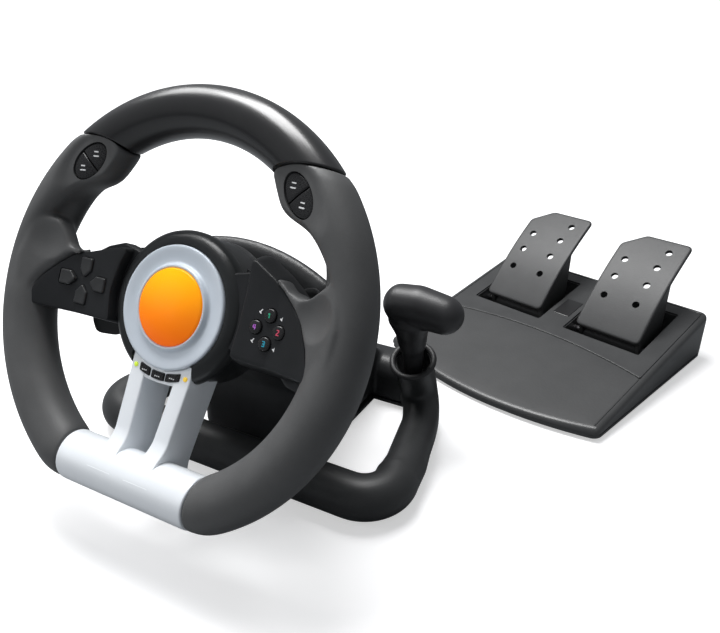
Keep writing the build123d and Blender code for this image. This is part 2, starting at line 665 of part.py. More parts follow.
front_bush_at = front_wall - SLEEVE_FLANGE_THICK - BUSH_LENGTH
rear_bush_at = SLEEVE_END + 2
keep("column_bushes", bush(front_bush_at), bush(rear_bush_at), frame=WHEEL)
spring_outer = SLEEVE_BORE - FIT
spring_from = rear_bush_at + BUSH_LENGTH + 1
spring_to = front_bush_at - 1
spring = disc(spring_outer, 0, 0, spring_from, spring_to) - disc(spring_outer - 3, 0, 0, -200, 0)
keep("centring_spring", spring, frame=WHEEL)
sensor = disc(SLEEVE_RADIUS, 0, 0, SLEEVE_END - 3, SLEEVE_END - FIT)
sensor = sensor + disc(SENSOR_RADIUS, 0, 0, SLEEVE_END - SENSOR_LENGTH, SLEEVE_END - 2)
sensor = sensor - disc(SHAFT_RADIUS + RUNNING, 0, 0, SHAFT_END - 1, SLEEVE_END + 5)
steering_sensor = WHEEL.location * sensor

# ---------------------------------------------------------------- base housing
plate_top = FOOT_HEIGHT + PLATE_THICK


def head_section(half, crown, shoulder, low, z):
    """A cross-section of the column head at one depth: flat sides under a crowned roof."""
    roof = ThreePointArc((-half, shoulder), (0, crown), (half, shoulder))
    cut = HEAD_CHAMFER
    rest = Polyline((half, shoulder), (half, low + cut), (half - cut, low), (cut - half, low),
                    (-half, low + cut), (-half, shoulder))
    return Pos(0, 0, z) * make_face(Curve() + [roof, rest])


def housing(inset):
    """The housing's outer form, or its inside when moved in by the wall."""
    front = HEAD_FRONT - inset
    back = HEAD_FRONT - HEAD_DEPTH + inset
    drop = HEAD_CROWN - HEAD_TAIL_CROWN
    head = loft([
        head_section(HEAD_HALF - inset, HEAD_CROWN - inset, HEAD_SHOULDER - inset, HEAD_LOW + inset, front),
        head_section(HEAD_TAIL_HALF - inset, HEAD_TAIL_CROWN - inset, HEAD_SHOULDER - drop - inset,
                     HEAD_LOW + inset, back),
    ])
    head = WHEEL.location * head
    in_row = WHEEL.location * Pos(0, HEAD_LOW + 12, HEAD_FRONT - 12)
    tail = WHEEL.location * Pos(0, HEAD_TAIL_CROWN - 4, HEAD_FRONT - HEAD_DEPTH + 6)
    low = plate_top - 30 * (inset > 0)
    spine_side = [
        (SPINE_FRONT + inset, low),
        (SPINE_FRONT + inset, 60),
        (in_row.position.Y + inset, in_row.position.Z),
        (tail.position.Y - 20, tail.position.Z - inset),
        (tail.position.Y - inset, tail.position.Z - inset),
        (SPINE_BACK - 18 - inset, WING_TOP + 6 - inset),
        (SPINE_BACK - inset, WING_TOP - 9 - inset),
        (SPINE_BACK - inset, low),
    ]
    spine = side_prism(spine_side, -SPINE_HALF + inset, SPINE_HALF - inset)
    wing_middle = (WING_BACK + WING_FRONT) / 2
    wing_depth = WING_BACK - WING_FRONT - 2 * inset
    plan = RectangleRounded(2 * (WING_HALF - inset), wing_depth, WING_CORNER - inset)
    section = Pos(wing_middle, WING_TOP - inset - 40) * RectangleRounded(wing_depth, 80, WING_ROUND - inset)
    wings = extrude(Plane.YZ * section, WING_HALF, both=True)
    wings = wings & (Pos(0, wing_middle, low) * extrude(plan, WING_TOP))
    return head + spine + wings


post_in = WALL + POST - 1
wing_post = WING_HALF - 12
post_spots = [(-wing_post, 19), (wing_post, 19), (0, SPINE_FRONT + post_in), (0, SPINE_BACK - post_in)]


def loop_tube(tube):
    """The U-shaped tube on the floor: bar, two corners, two arms, two inward bends."""
    first = Pos(0, LOOP_FRONT, LOOP_TUBE)
    half = rod(tube, (-0.01, 0, 0), (LOOP_HALF, 0, 0))
    half = half + bent_bar((LOOP_HALF, LOOP_CORNER), LOOP_CORNER, tube, -90, LOOP_TURN)
    heading = radians(LOOP_TURN)
    x = LOOP_HALF + LOOP_CORNER * sin(heading)
    y = LOOP_CORNER * (1 - cos(heading))
    x2 = x + LOOP_ARM * cos(heading)
    y2 = y + LOOP_ARM * sin(heading)
    half = half + rod(tube, (x, y, 0), (x2, y2, 0))
    middle = (x2 - LOOP_BEND * sin(heading), y2 + LOOP_BEND * cos(heading))
    half = half + bent_bar(middle, LOOP_BEND, tube, LOOP_TURN - 90, LOOP_BEND_TURN)
    last = radians(LOOP_TURN + LOOP_BEND_TURN)
    x3 = middle[0] + LOOP_BEND * sin(last)
    y3 = middle[1] - LOOP_BEND * cos(last)
    half = half + rod(tube, (x3, y3, 0), (x3 + LOOP_TAIL * cos(last), y3 + LOOP_TAIL * sin(last), 0))
    return first * both_sides(half)


collar_top = Vector(COLLAR_X, COLLAR_Y, COLLAR_Z)
collar_run = (COLLAR_Z - LOOP_TUBE) * tan(radians(COLLAR_LEAN))
collar_foot = Vector(COLLAR_FOOT_X, COLLAR_Y + collar_run, LOOP_TUBE)
collar_up = (collar_top - collar_foot).normalized()
collar_drop = (collar_top - collar_foot).length


def on_collar(height):
    """A point on the collar's axis, a height above the ring."""
    return tuple(collar_top + collar_up * height)


def collar_rod(radius, low, high):
    """A round bar on the collar's axis between two heights."""
    return rod(radius, on_collar(low), on_collar(high))


loop = loop_tube(LOOP_TUBE) + collar_rod(COLLAR_TUBE, -collar_drop, 0)
loop = loop - loop_tube(LOOP_TUBE - LOOP_WALL)
loop = loop - collar_rod(COLLAR_TUBE - LOOP_WALL, -collar_drop + LOOP_TUBE, 1)
pin_at = on_collar(-LEVER_PIVOT)
pin_half = COLLAR_TUBE - 0.5
pin_ends = ((pin_at[0] - pin_half, pin_at[1], pin_at[2]), (pin_at[0] + pin_half, pin_at[1], pin_at[2]))
loop = loop - rod(LEVER_PIN + FIT, *pin_ends)
loop_room = loop_tube(LOOP_TUBE + FIT) + collar_rod(COLLAR_TUBE + FIT, -collar_drop, 0)

shell = housing(0) - housing(WALL)
posts = None
for x, y in post_spots:
    post = disc(POST, x, y, plate_top, WING_TOP - 0.5) & housing(0.5)
    posts = post if posts is None else posts + post
shell = shell + posts - loop_room
shell = shell - WHEEL.location * disc(SHAFT_RADIUS + SHAFT_FREE, 0, 0, HEAD_FRONT - 10, HEAD_FRONT + 10)
for x, y in post_spots:
    shell = shell - disc(SCREW_SHANK + FIT, x, y, 0, 25)
socket_hole = block(-SOCKET_W / 2, SOCKET_W / 2, WING_BACK - 10, WING_BACK + 10, -SOCKET_H / 2, SOCKET_H / 2)
shell = shell - Pos(SOCKET_X, 0, PORT_Z) * socket_hole
shell = shell - rod(GLAND_RADIUS, (GLAND_X, WING_BACK - 10, PORT_Z), (GLAND_X, WING_BACK + 10, PORT_Z))
keep("base_housing", shell)
keep("grip_loop", loop)

plan = RectangleRounded(2 * WING_HALF, WING_BACK - WING_FRONT, WING_CORNER)
plate = Pos(0, (WING_BACK + WING_FRONT) / 2, FOOT_HEIGHT) * extrude(plan, PLATE_THICK - FIT)
plate = plate + block(-SPINE_HALF, SPINE_HALF, SPINE_FRONT, SPINE_BACK, FOOT_HEIGHT, plate_top - FIT)
for x, y in BOARD_POSTS:
    plate = plate + disc(3, x, y, plate_top - 1, BOARD_Z - FIT)
plate = plate + disc(CLAMP_HOLE + 4, 0, CLAMP_Y, plate_top - 1, FOOT_HEIGHT + CLAMP_DEPTH + 2)
plate = plate - disc(CLAMP_HOLE + INSERT_WALL + FIT, 0, CLAMP_Y, 0, FOOT_HEIGHT + CLAMP_DEPTH)
for x, y in post_spots:
    plate = plate - disc(SCREW_SHANK + SCREW_FREE, x, y, 0, plate_top)
    plate = plate - disc(SCREW_HEAD + SCREW_FREE, x, y, 0, FOOT_HEIGHT + 1)
for x, y in FOOT_SPOTS:
    plate = plate - disc(FOOT_STEM, x, y, 0, plate_top)
plate = plate - loop_room
insert = disc(CLAMP_HOLE + INSERT_WALL, 0, CLAMP_Y, FOOT_HEIGHT, FOOT_HEIGHT + CLAMP_DEPTH)
keep("clamp_insert", insert - disc(CLAMP_HOLE, 0, CLAMP_Y, 0, FOOT_HEIGHT + CLAMP_DEPTH + 5))

feet = []
stem = FOOT_STEM - 2 * FIT
foot = turned([
    (0, 0), (FOOT_RADIUS, 0), (FOOT_RADIUS - 1, FOOT_HEIGHT / 2), (2 * FOOT_STEM, FOOT_HEIGHT - FIT),
    (stem, FOOT_HEIGHT - FIT), (stem, plate_top - FIT), (0, plate_top - FIT),
])
for x, y in FOOT_SPOTS:
    feet.append(Pos(x, y, 0) * foot)
base_screws = []
for x, y in post_spots:
    base_screws.append(screw(x, y, FOOT_HEIGHT + 1, BASE_SCREW, 1))
keep("main_circuit_board", block(*MAIN_BOARD, BOARD_Z, BOARD_Z + BOARD_THICK))
socket_half = SOCKET_W / 2 - FIT
socket_rise = SOCKET_H / 2 - FIT
socket = block(-socket_half, socket_half, WING_BACK - SOCKET_DEPTH, WING_BACK, -socket_rise, socket_rise)
socket = socket - block(1.5 - socket_half, socket_half - 1.5, WING_BACK - 9, WING_BACK + 1,
                        2 - socket_rise, socket_rise - 2)
socket = Pos(SOCKET_X, 0, PORT_Z) * socket
keep("pedal_socket", socket)
gland = rod(GLAND_RADIUS - FIT, (GLAND_X, WING_BACK - WALL - 2, PORT_Z), (GLAND_X, WING_BACK + 2, PORT_Z))
gland_rim = rod(GLAND_RADIUS + 1.5, (GLAND_X, WING_BACK + FIT, PORT_Z), (GLAND_X, WING_BACK + 2, PORT_Z))
gland = gland + gland_rim
gland = gland - rod(GLAND_BORE, (GLAND_X, WING_BACK - 20, PORT_Z), (GLAND_X, WING_BACK + 20, PORT_Z))
keep("lead_gland", gland)

# saddle that carries the rear of the column sleeve
saddle_n = SLEEVE_END + 6
saddle_at = (WHEEL.location * Pos(0, 0, saddle_n)).position
saddle = block(-SADDLE_HALF, SADDLE_HALF, saddle_at.Y - 4, saddle_at.Y + 4, plate_top, saddle_at.Z)
saddle = saddle - WHEEL.location * disc(SLEEVE_RADIUS + FIT, 0, 0, SLEEVE_END - 40, HEAD_FRONT)
saddle = max(saddle.solids(), key=lambda solid: solid.volume)
saddle_foot = SADDLE_HALF + 6
saddle = saddle + block(-saddle_foot, saddle_foot, saddle_at.Y - SADDLE_HALF, saddle_at.Y + SADDLE_HALF,
                        plate_top - 1, plate_top + 3)
keep("base_bottom_plate", plate + saddle)

# ---------------------------------------------------------------- shifter
lip = revolve(Plane.XZ * Pos(LIP_RADIUS, 0) * Circle(LIP_TUBE), Axis.Z)
collar_plane = Plane(origin=collar_top, x_dir=(1, 0, 0), z_dir=collar_up)
lip = collar_plane.location * (Pos(0, 0, LIP_TUBE - 0.6) * lip)
lip = lip - collar_rod(COLLAR_TUBE + FIT, -20, FIT)
keep("shifter_ring", lip)
lever_lean = radians(LEVER_LEAN)
lever_up = Vector(0, -sin(lever_lean), cos(lever_lean))
lever_plane = Plane(origin=collar_top, x_dir=(1, 0, 0), z_dir=lever_up)
stalk = lever_plane.location * turned([
    (0, 0), (STALK_NECK, 0), (STALK_NECK, STALK_STEP - 3), (STALK_RADIUS, STALK_STEP),
    (STALK_RADIUS, LEVER_PIVOT),
    (KNOB_RADIUS - 2, KNOB_RISE - KNOB_RADIUS), (KNOB_RADIUS - 2, KNOB_RISE), (0, KNOB_RISE),
])
stalk = stalk + Pos(*collar_top) * Sphere(STALK_BALL)
stalk = stalk + collar_rod(STALK_FOOT, -LEVER_PIVOT - STALK_FOOT, 0)
knob_at = collar_top + lever_up * KNOB_RISE + Vector(KNOB_SHIFT, 0, 0)
cap_high = Line((-KNOB_HALF, KNOB_RADIUS), (KNOB_HALF, KNOB_RADIUS))
cap_end = RadiusArc((KNOB_HALF, KNOB_RADIUS), (KNOB_HALF + KNOB_RADIUS, 0), KNOB_RADIUS)
cap_axis = Line((KNOB_HALF + KNOB_RADIUS, 0), (-KNOB_HALF - KNOB_RADIUS, 0))
cap_start = RadiusArc((-KNOB_HALF - KNOB_RADIUS, 0), (-KNOB_HALF, KNOB_RADIUS), KNOB_RADIUS)
knob = revolve(make_face(Curve() + [cap_high, cap_end, cap_axis, cap_start]), Axis.X)
knob = Pos(*knob_at) * knob
stalk = stalk - Pos(*knob_at) * Rot(0, 90, 0) * Pos(0, 0, -40) * extrude(Circle(KNOB_RADIUS + FIT), 80)
stalk = max(stalk.solids(), key=lambda solid: solid.volume)
stalk = stalk - rod(LEVER_PIN + RUNNING, *pin_ends)
keep("shift_lever", stalk)
keep("shift_knob", knob)
keep("shift_pin", rod(LEVER_PIN, *pin_ends))

# ---------------------------------------------------------------- pedal unit
half_width = BASE_WIDTH / 2
well_out = half_width - WELL_EDGE
tread_width = well_out - WELL_IN - 2 * TREAD_SIDE
post_x = half_width - POST_EDGE
pedal_posts = [(-post_x, -8), (post_x, -8), (-post_x, -120), (post_x, -120), (0, -8), (0, -150)]
pad_x = half_width - PAD_EDGE
pad_spots = [(-pad_x, -24), (pad_x, -24), (-pad_x, -170), (pad_x, -170), (0, -185), (0, -40)]


def foot_plan(inset, z0, z1):
    """The pedal base's plan: straight back and sides, bowed front."""
    r = BASE_CORNER - inset
    w = half_width - inset
    back = -inset
    side = -BASE_LENGTH + inset
    front = -BASE_LENGTH - BASE_BULGE + inset
    bow = ThreePointArc((-w, side), (0, front), (w, side))
    rest = Polyline((w, side), (w, back), (-w, back), (-w, side))
    face = make_face(Curve() + [bow, rest])
    face = fillet(face.vertices(), r)
    return Pos(0, 0, z0) * extrude(face, z1 - z0)


base_slope = (BASE_BACK_HEIGHT - BASE_FRONT_HEIGHT) / BASE_LENGTH


def top_at(y):
    """Height of the pedal base's top at a distance from its back edge."""
    return BASE_BACK_HEIGHT + base_slope * y


def wedge_body(inset, low):
    """The pedal base as a sloping block."""
    front = -BASE_LENGTH - BASE_BULGE - 5
    corners = [(front, low), (front, top_at(front) - inset), (5, top_at(5) - inset), (5, low)]
    slab = side_prism(corners, -BIG / 2, BIG / 2)
    return foot_plan(inset, low, 80) & slab


pedal_plate_top = PAD_FOOT + PLATE_THICK


def well_box(side, grow, z0, z1):
    """The slot that one pedal drops into."""
    x0, x1 = sorted((side * (WELL_IN - grow), side * (well_out + grow)))
    return block(x0, x1, WELL_FRONT - grow, WELL_BACK + grow, z0, z1)


top_shell = wedge_body(0, pedal_plate_top) - wedge_body(WALL, pedal_plate_top - 30)
tubs = well_box(-1, WALL, pedal_plate_top, 80) + well_box(1, WALL, pedal_plate_top, 80)
tubs = tubs & wedge_body(0, pedal_plate_top)
top_shell = top_shell + tubs - well_box(-1, 0, 0, 80) - well_box(1, 0, 0, 80)
for x, y in pedal_posts:
    top_shell = top_shell + (disc(POST, x, y, pedal_plate_top, 60) & wedge_body(WALL / 2, pedal_plate_top))
for x, y in pedal_posts:
    top_shell = top_shell - disc(SCREW_SHANK + FIT, x, y, 0, top_at(y) - 2 * WALL)
axle_reach = WALL + 4
axles = []
for side in (-1, 1):
    x0, x1 = sorted((side * (WELL_IN - axle_reach), side * (well_out + axle_reach)))
    top_shell = top_shell - rod(AXLE_RADIUS + FIT, (x0, AXLE_Y, AXLE_Z), (x1, AXLE_Y, AXLE_Z))
    axles.append(rod(AXLE_RADIUS, (x0, AXLE_Y, AXLE_Z), (x1, AXLE_Y, AXLE_Z)))
plaque_room = Pos(0, 0, -1.0) * wedge_body(0, 0)
recess = block(*PLAQUE, 0, 80) - plaque_room
top_shell = top_shell - recess
keep("pedal_base_top", top_shell, frame=PEDALS)
keep("pedal_axles", *axles, frame=PEDALS)
plaque = block(PLAQUE[0] + FIT, PLAQUE[1] - FIT, PLAQUE[2] + FIT, PLAQUE[3] - FIT, 0, 80)
plaque = (plaque - (Pos(0, 0, FIT) * plaque_room)) & (Pos(0, 0, PLAQUE_PROUD) * wedge_body(0, 0))
keep("pedal_plaque", plaque, frame=PEDALS)

sole = foot_plan(0, PAD_FOOT, pedal_plate_top - FIT)
for x, y in pedal_posts:
    sole = sole - disc(SCREW_SHANK + SCREW_FREE, x, y, 0, pedal_plate_top)
    sole = sole - disc(SCREW_HEAD + SCREW_FREE, x, y, 0, PAD_FOOT + 1)
keep("pedal_base_sole", sole, frame=PEDALS)
pads = []
for x, y in pad_spots:
    pads.append(Pos(x, y, 0) * extrude(RectangleRounded(*PAD_SIZE, 4), PAD_FOOT - FIT))
keep("rubber_feet", *feet, *[PEDALS.location * pad for pad in pads])
foot_screws = []
for x, y in pedal_posts:
    reach = min(PEDAL_SCREW, top_at(y) - 2 * WALL - PAD_FOOT - 1.5)
    foot_screws.append(screw(x, y, PAD_FOOT + 1, reach, 1))
keep("housing_screws", *base_screws, *[PEDALS.location * piece for piece in foot_screws])

tilt = radians(TREAD_ANGLE)
middle_x = (WELL_IN + well_out) / 2


def pedal(side):
    """One pedal: tread with seven holes, two side webs and a hub tube on the axle."""
    left = side * middle_x - tread_width / 2
    face = make_face(Polyline((0, 0), (tread_width, 0), (tread_width, TREAD_LENGTH),
                              (TREAD_CUT[0], TREAD_LENGTH), (0, TREAD_LENGTH - TREAD_CUT[1]), close=True))
    face = fillet(face.vertices(), TREAD_ROUND)
    spots = [(tread_width - TREAD_SINGLE[0], TREAD_SINGLE[1])]
    for column in (TREAD_COLUMNS[0], tread_width - TREAD_COLUMNS[1]):
        for row in TREAD_ROWS:
            spots.append((column, row))
    for x, y in spots:
        face = face - Pos(x, y) * Circle(TREAD_HOLE)
    tread = extrude(face, -TREAD_THICK)
    tread = Pos(left, TREAD_Y, TREAD_Z) * Rot(TREAD_ANGLE, 0, 0) * tread
    up = TREAD_LENGTH * WEB_REACH
    down = TREAD_THICK / 2
    web_side = [
        (TREAD_Y + 6 * cos(tilt) + down * sin(tilt), TREAD_Z + 6 * sin(tilt) - down * cos(tilt)),
        (TREAD_Y + up * cos(tilt) + down * sin(tilt), TREAD_Z + up * sin(tilt) - down * cos(tilt)),
        (WELL_BACK - 14, AXLE_Z + 8),
        (AXLE_Y + PEDAL_HUB * 0.6, AXLE_Z - PEDAL_HUB * 0.75),
        (AXLE_Y - PEDAL_HUB * 0.8, AXLE_Z - 2),
    ]
    body = tread
    for x in (left + 1, left + tread_width - 1 - WEB_THICK):
        body = body + side_prism(web_side, x, x + WEB_THICK)
    body = body + rod(PEDAL_HUB, (left + 1, AXLE_Y, AXLE_Z), (left + tread_width - 1, AXLE_Y, AXLE_Z))
    bore = rod(AXLE_RADIUS + RUNNING, (left - 9, AXLE_Y, AXLE_Z), (left + tread_width + 9, AXLE_Y, AXLE_Z))
    body = body - bore
    return body


keep("brake_pedal", pedal(-1), frame=PEDALS)
keep("accelerator_pedal", pedal(1), frame=PEDALS)
springs = []
sensors = []
for side in (-1, 1):
    inner = side * middle_x + tread_width / 2 + 0.6
    wall_x = side * middle_x + (well_out - WELL_IN) / 2 - 0.4
    ring = rod(AXLE_RADIUS + SPRING_WALL, (inner, AXLE_Y, AXLE_Z), (wall_x, AXLE_Y, AXLE_Z))
    gap = rod(AXLE_RADIUS + SCREW_FREE, (inner - 5, AXLE_Y, AXLE_Z), (wall_x + 5, AXLE_Y, AXLE_Z))
    springs.append(ring - gap)
    start = side * middle_x + (well_out - WELL_IN) / 2 + WALL + FIT
    can = rod(PEDAL_SENSOR, (start, AXLE_Y, AXLE_Z), (start + 6, AXLE_Y, AXLE_Z))
    sensors.append(can - rod(AXLE_RADIUS + FIT, (start - 1, AXLE_Y, AXLE_Z), (start + 4.2, AXLE_Y, AXLE_Z)))
keep("pedal_springs", *springs, frame=PEDALS)
keep("position_sensors", steering_sensor, *[PEDALS.location * piece for piece in sensors])

# ---------------------------------------------------------------- write every sub-part
for name, solids in nodes.items():
    shape = solids[0] if len(solids) == 1 else Compound(children=solids)
    export_step(shape, f"parts/{name}.step")
    print(name, len(solids), "solids", round(sum(solid.volume for solid in solids) / 1000, 2), "cm3")
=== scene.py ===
# %% [markdown]
# # A racing wheel and its pedals
# This lesson dresses a games racing wheel: a flat-bottomed rim on a tilted base with a grip loop and a
# gear lever, and a floor unit with two pedals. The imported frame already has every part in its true
# place and size. Blender adds the shapes that a moulding really has and the finishes that catch light.
# Most pieces are worked out with numpy: one function of two numbers gives every point of a surface.

# %% Load the frame
import json
import math
import bpy
import numpy as np
from mathutils import Matrix, Vector


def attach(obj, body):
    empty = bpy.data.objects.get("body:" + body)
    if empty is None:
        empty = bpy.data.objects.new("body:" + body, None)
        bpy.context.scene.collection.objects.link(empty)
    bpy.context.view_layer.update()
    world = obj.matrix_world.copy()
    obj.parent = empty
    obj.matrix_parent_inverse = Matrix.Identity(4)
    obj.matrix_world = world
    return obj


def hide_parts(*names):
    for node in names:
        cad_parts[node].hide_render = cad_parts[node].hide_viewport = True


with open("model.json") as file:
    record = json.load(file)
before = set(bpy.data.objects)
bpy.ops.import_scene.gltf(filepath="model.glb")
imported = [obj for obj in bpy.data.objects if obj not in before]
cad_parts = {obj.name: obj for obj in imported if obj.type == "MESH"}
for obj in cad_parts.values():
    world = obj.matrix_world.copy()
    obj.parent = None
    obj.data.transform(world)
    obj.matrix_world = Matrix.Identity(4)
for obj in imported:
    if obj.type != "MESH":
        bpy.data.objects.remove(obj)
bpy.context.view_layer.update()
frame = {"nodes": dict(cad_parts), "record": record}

# %% [markdown]
# The rim leans back, and the pedal unit stands a little turned on the floor. It is far easier to draw
# each part straight and then place it, so two local frames are kept. In WHEEL, x runs to the driver's
# right, u up the rim and n out of the rim towards the driver. In PEDALS, y runs backwards along the
# unit and z is up. All local sizes are millimetres; the scene is in metres.

# %% Local frames
MM = 0.001
LEAN = math.radians(27.5)
YAW = math.radians(-16.9)
WHEEL = (np.array([0.0, -165.0, 141.5]),
         np.array([[1, 0, 0], [0, math.sin(LEAN), math.cos(LEAN)], [0, -math.cos(LEAN), math.sin(LEAN)]]))
PEDALS = (np.array([171.35, 231.25, 0.0]),
          np.array([[math.cos(YAW), math.sin(YAW), 0], [-math.sin(YAW), math.cos(YAW), 0], [0, 0, 1]]))
FLOOR = (np.zeros(3), np.eye(3))


def to_row(points, place):
    """Origin plus each coordinate times its own axis, in metres."""
    return (place[0] + np.asarray(points, float) @ place[1]) * MM


print("wheel axis:", np.round(WHEEL[1][2], 3), "pedal unit turned", round(math.degrees(YAW), 1), "degrees")

# %% [markdown]
# Every closed surface below is a grid of points: rows along it, columns round it. The same few helpers
# join neighbours into quads, close the ends and make sure that faces look outwards, which they check
# from the sign of the volume they enclose.

# %% Grids into solids
def grid_faces(rows, cols, ring):
    """Quads between neighbouring points; columns close on themselves, rows do if it is a ring."""
    i, j = np.meshgrid(np.arange(rows if ring else rows - 1), np.arange(cols), indexing="ij")
    i, j = i.ravel(), j.ravel()
    a, b = (i + 1) % rows, (j + 1) % cols
    return np.stack([i * cols + j, i * cols + b, a * cols + b, a * cols + j], axis=1)


def enclosed(points, faces):
    """Volume as the sum over triangles of first corner dot (second cross third), over six."""
    total = 0.0
    for quads in faces:
        for k in range(1, quads.shape[1] - 1):
            total += np.einsum("ij,ij->", points[quads[:, 0]],
                               np.cross(points[quads[:, k]], points[quads[:, k + 1]]))
    return total / 6


def skin(grid, ring=False):
    """A grid of rows x columns x 3 closed into (points, faces); open ends get a middle point each."""
    rows, cols = grid.shape[:2]
    points = grid.reshape(-1, 3)
    faces = [grid_faces(rows, cols, ring)]
    if not ring:
        points = np.vstack([points, grid[0].mean(axis=0), grid[-1].mean(axis=0)])
        j = np.arange(cols)
        k = (j + 1) % cols
        first, last = rows * cols, rows * cols + 1
        faces.append(np.stack([np.full(cols, first), k, j], axis=1))
        base = (rows - 1) * cols
        faces.append(np.stack([np.full(cols, last), base + j, base + k], axis=1))
    if enclosed(points, faces) < 0:
        faces = [f[:, ::-1] for f in faces]
    return points, faces


def together(*shapes):
    """Several closed shapes as one list of points and faces."""
    points, faces, start = [], [], 0
    for shape_points, shape_faces in shapes:
        points.append(shape_points)
        faces.extend(f + start for f in shape_faces)
        start += len(shape_points)
    return np.vstack(points), faces


def mirrored(shape):
    """The other hand: x changes sign, and the faces turn round with it."""
    points, faces = shape
    return points * np.array([-1.0, 1.0, 1.0]), [f[:, ::-1] for f in faces]


def on_side(shape, side):
    """The shape itself on the right, its mirror image on the left."""
    return mirrored(shape) if side < 0 else shape


def new_object(name, shape, place, sharp=40):
    """A mesh object at the origin, smooth except where faces meet at more than the sharp angle."""
    points, faces = shape
    mesh = bpy.data.meshes.new(name)
    mesh.from_pydata(to_row(points, place).tolist(), [], [tuple(q) for f in faces for q in f.tolist()])
    mesh.polygons.foreach_set("use_smooth", np.ones(len(mesh.polygons), bool))
    mesh.set_sharp_from_angle(angle=math.radians(sharp))
    thing = bpy.data.objects.new(name, mesh)
    bpy.context.scene.collection.objects.link(thing)
    return thing


def settle(thing, body, slot, finish, *stands_for):
    """Gives a piece its finish, hangs it on its body and lets it stand for CAD nodes."""
    thing.data.materials.clear()
    thing.data.materials.append(finish)
    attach(thing, body)
    if stands_for:
        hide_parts(*stands_for)
    print(f"{thing.name}: {len(thing.data.polygons)} faces")
    return thing


# %% [markdown]
# Holes for keys and pedals are cut with a Boolean, and forms that flow into each other, such as a lever
# and its knob, are melted together with a voxel Remesh and then smoothed. Both are baked straight into
# the mesh, so that the finished piece has no live modifier left.

# %% Cutting and melting
def bake(thing, sharp):
    """Replaces the mesh by what its modifiers make of it."""
    graph = bpy.context.evaluated_depsgraph_get()
    made = bpy.data.meshes.new_from_object(thing.evaluated_get(graph))
    thing.modifiers.clear()
    old = thing.data
    thing.data = made
    bpy.data.meshes.remove(old)
    made.polygons.foreach_set("use_smooth", np.ones(len(made.polygons), bool))
    made.set_sharp_from_angle(angle=math.radians(sharp))
    return thing


def carve(thing, cutter, place, sharp=40):
    """Takes a closed shape out of a piece."""
    tool = new_object("carving_tool", cutter, place)
    cut = thing.modifiers.new("carve", "BOOLEAN")
    cut.operation, cut.solver, cut.object = "DIFFERENCE", "EXACT", tool
    bake(thing, sharp)
    bpy.data.objects.remove(tool)
    return thing


def melt(thing, voxel, rounds, sharp):
    """Joins overlapping closed shapes into one skin and softens where they meet."""
    net = thing.modifiers.new("melt", "REMESH")
    net.mode, net.voxel_size, net.use_smooth_shade = "VOXEL", voxel * MM, True
    soft = thing.modifiers.new("soften", "SMOOTH")
    soft.factor, soft.iterations = 0.5, rounds
    return bake(thing, sharp)


# %% [markdown]
# Moulded corners are never sharp. One helper rounds the corners of any outline with short curves; a
# second turns an outline into a plate whose levels step inwards, which is how a rounded edge is
# drawn; a third spins a profile about an axis; a fourth carries a round section along a path.

# %% Outlines, plates, turned and swept forms
def rounded(corners, radius, steps=6):
    """Each corner becomes (1-t)^2 start + 2 t (1-t) corner + t^2 end, tangent to both of its sides."""
    corners = np.asarray(corners, float)
    radii = np.broadcast_to(radius, len(corners))
    out = []
    for here, before, after, r in zip(corners, np.roll(corners, 1, 0), np.roll(corners, -1, 0), radii):
        a, b = before - here, after - here
        la, lb = np.linalg.norm(a), np.linalg.norm(b)
        a, b = a / la, b / lb
        half = math.acos(float(np.clip(a @ b, -1, 1))) / 2
        reach = min(r / math.tan(half), 0.48 * la, 0.48 * lb) if half < 1.55 else 0.0
        t = np.linspace(0, 1, steps)[:, None]
        start, end = here + a * reach, here + b * reach
        out.append((1 - t) ** 2 * start + 2 * t * (1 - t) * here + t * t * end)
    return np.vstack(out)


def evenly(outline, count):
    """The same closed outline with its points at equal steps of length."""
    loop = np.vstack([outline, outline[:1]])
    run = np.concatenate([[0], np.cumsum(np.linalg.norm(np.diff(loop, axis=0), axis=1))])
    at = np.linspace(0, run[-1], count, endpoint=False)
    return np.stack([np.interp(at, run, loop[:, 0]), np.interp(at, run, loop[:, 1])], axis=1)


def inset(outline, depth):
    """Every point moves inwards along its own normal."""
    run = np.roll(outline, -1, 0) - np.roll(outline, 1, 0)
    run /= np.linalg.norm(run, axis=1)[:, None] + 1e-9
    area = np.sum(outline[:, 0] * np.roll(outline[:, 1], -1) - outline[:, 1] * np.roll(outline[:, 0], -1))
    normal = np.stack([-run[:, 1], run[:, 0]], axis=1) * np.sign(area)
    return outline + normal * depth


def plate(outline, levels, centre=None, lift=None, fill=(0.75, 0.5, 0.25, 0.1)):
    """Rings of the outline at (inset, height) levels, closed by smaller copies; a lift raises the top."""
    centre = outline.mean(axis=0) if centre is None else np.asarray(centre, float)
    rings = []
    first, last = levels[0], levels[-1]
    for share in fill[::-1]:
        rings.append((centre + (inset(outline, first[0]) - centre) * share, first[1], 0.0))
    for depth, height in levels:
        rings.append((inset(outline, depth), height, 1.0 if height > (first[1] + last[1]) / 2 else 0.0))
    for share in fill:
        rings.append((centre + (inset(outline, last[0]) - centre) * share, last[1], 1.0))
    grid = np.stack([np.column_stack([ring, np.full(len(ring), height)]) for ring, height, _ in rings])
    if lift is not None:
        raise_by = np.array([top for _, _, top in rings])[:, None]
        grid[..., 2] += raise_by * lift(grid[..., 0], grid[..., 1])
    return skin(grid)


def edge_levels(low, high, radius, steps, bottom=0.4):
    """Levels of a plate: a small chamfer below, an upright side and a quarter-round top edge."""
    turn = np.linspace(0, math.pi / 2, steps)
    top = [(radius * (1 - math.cos(t)), high - radius * (1 - math.sin(t))) for t in turn]
    return [(bottom, low), (0.0, low + bottom)] + top


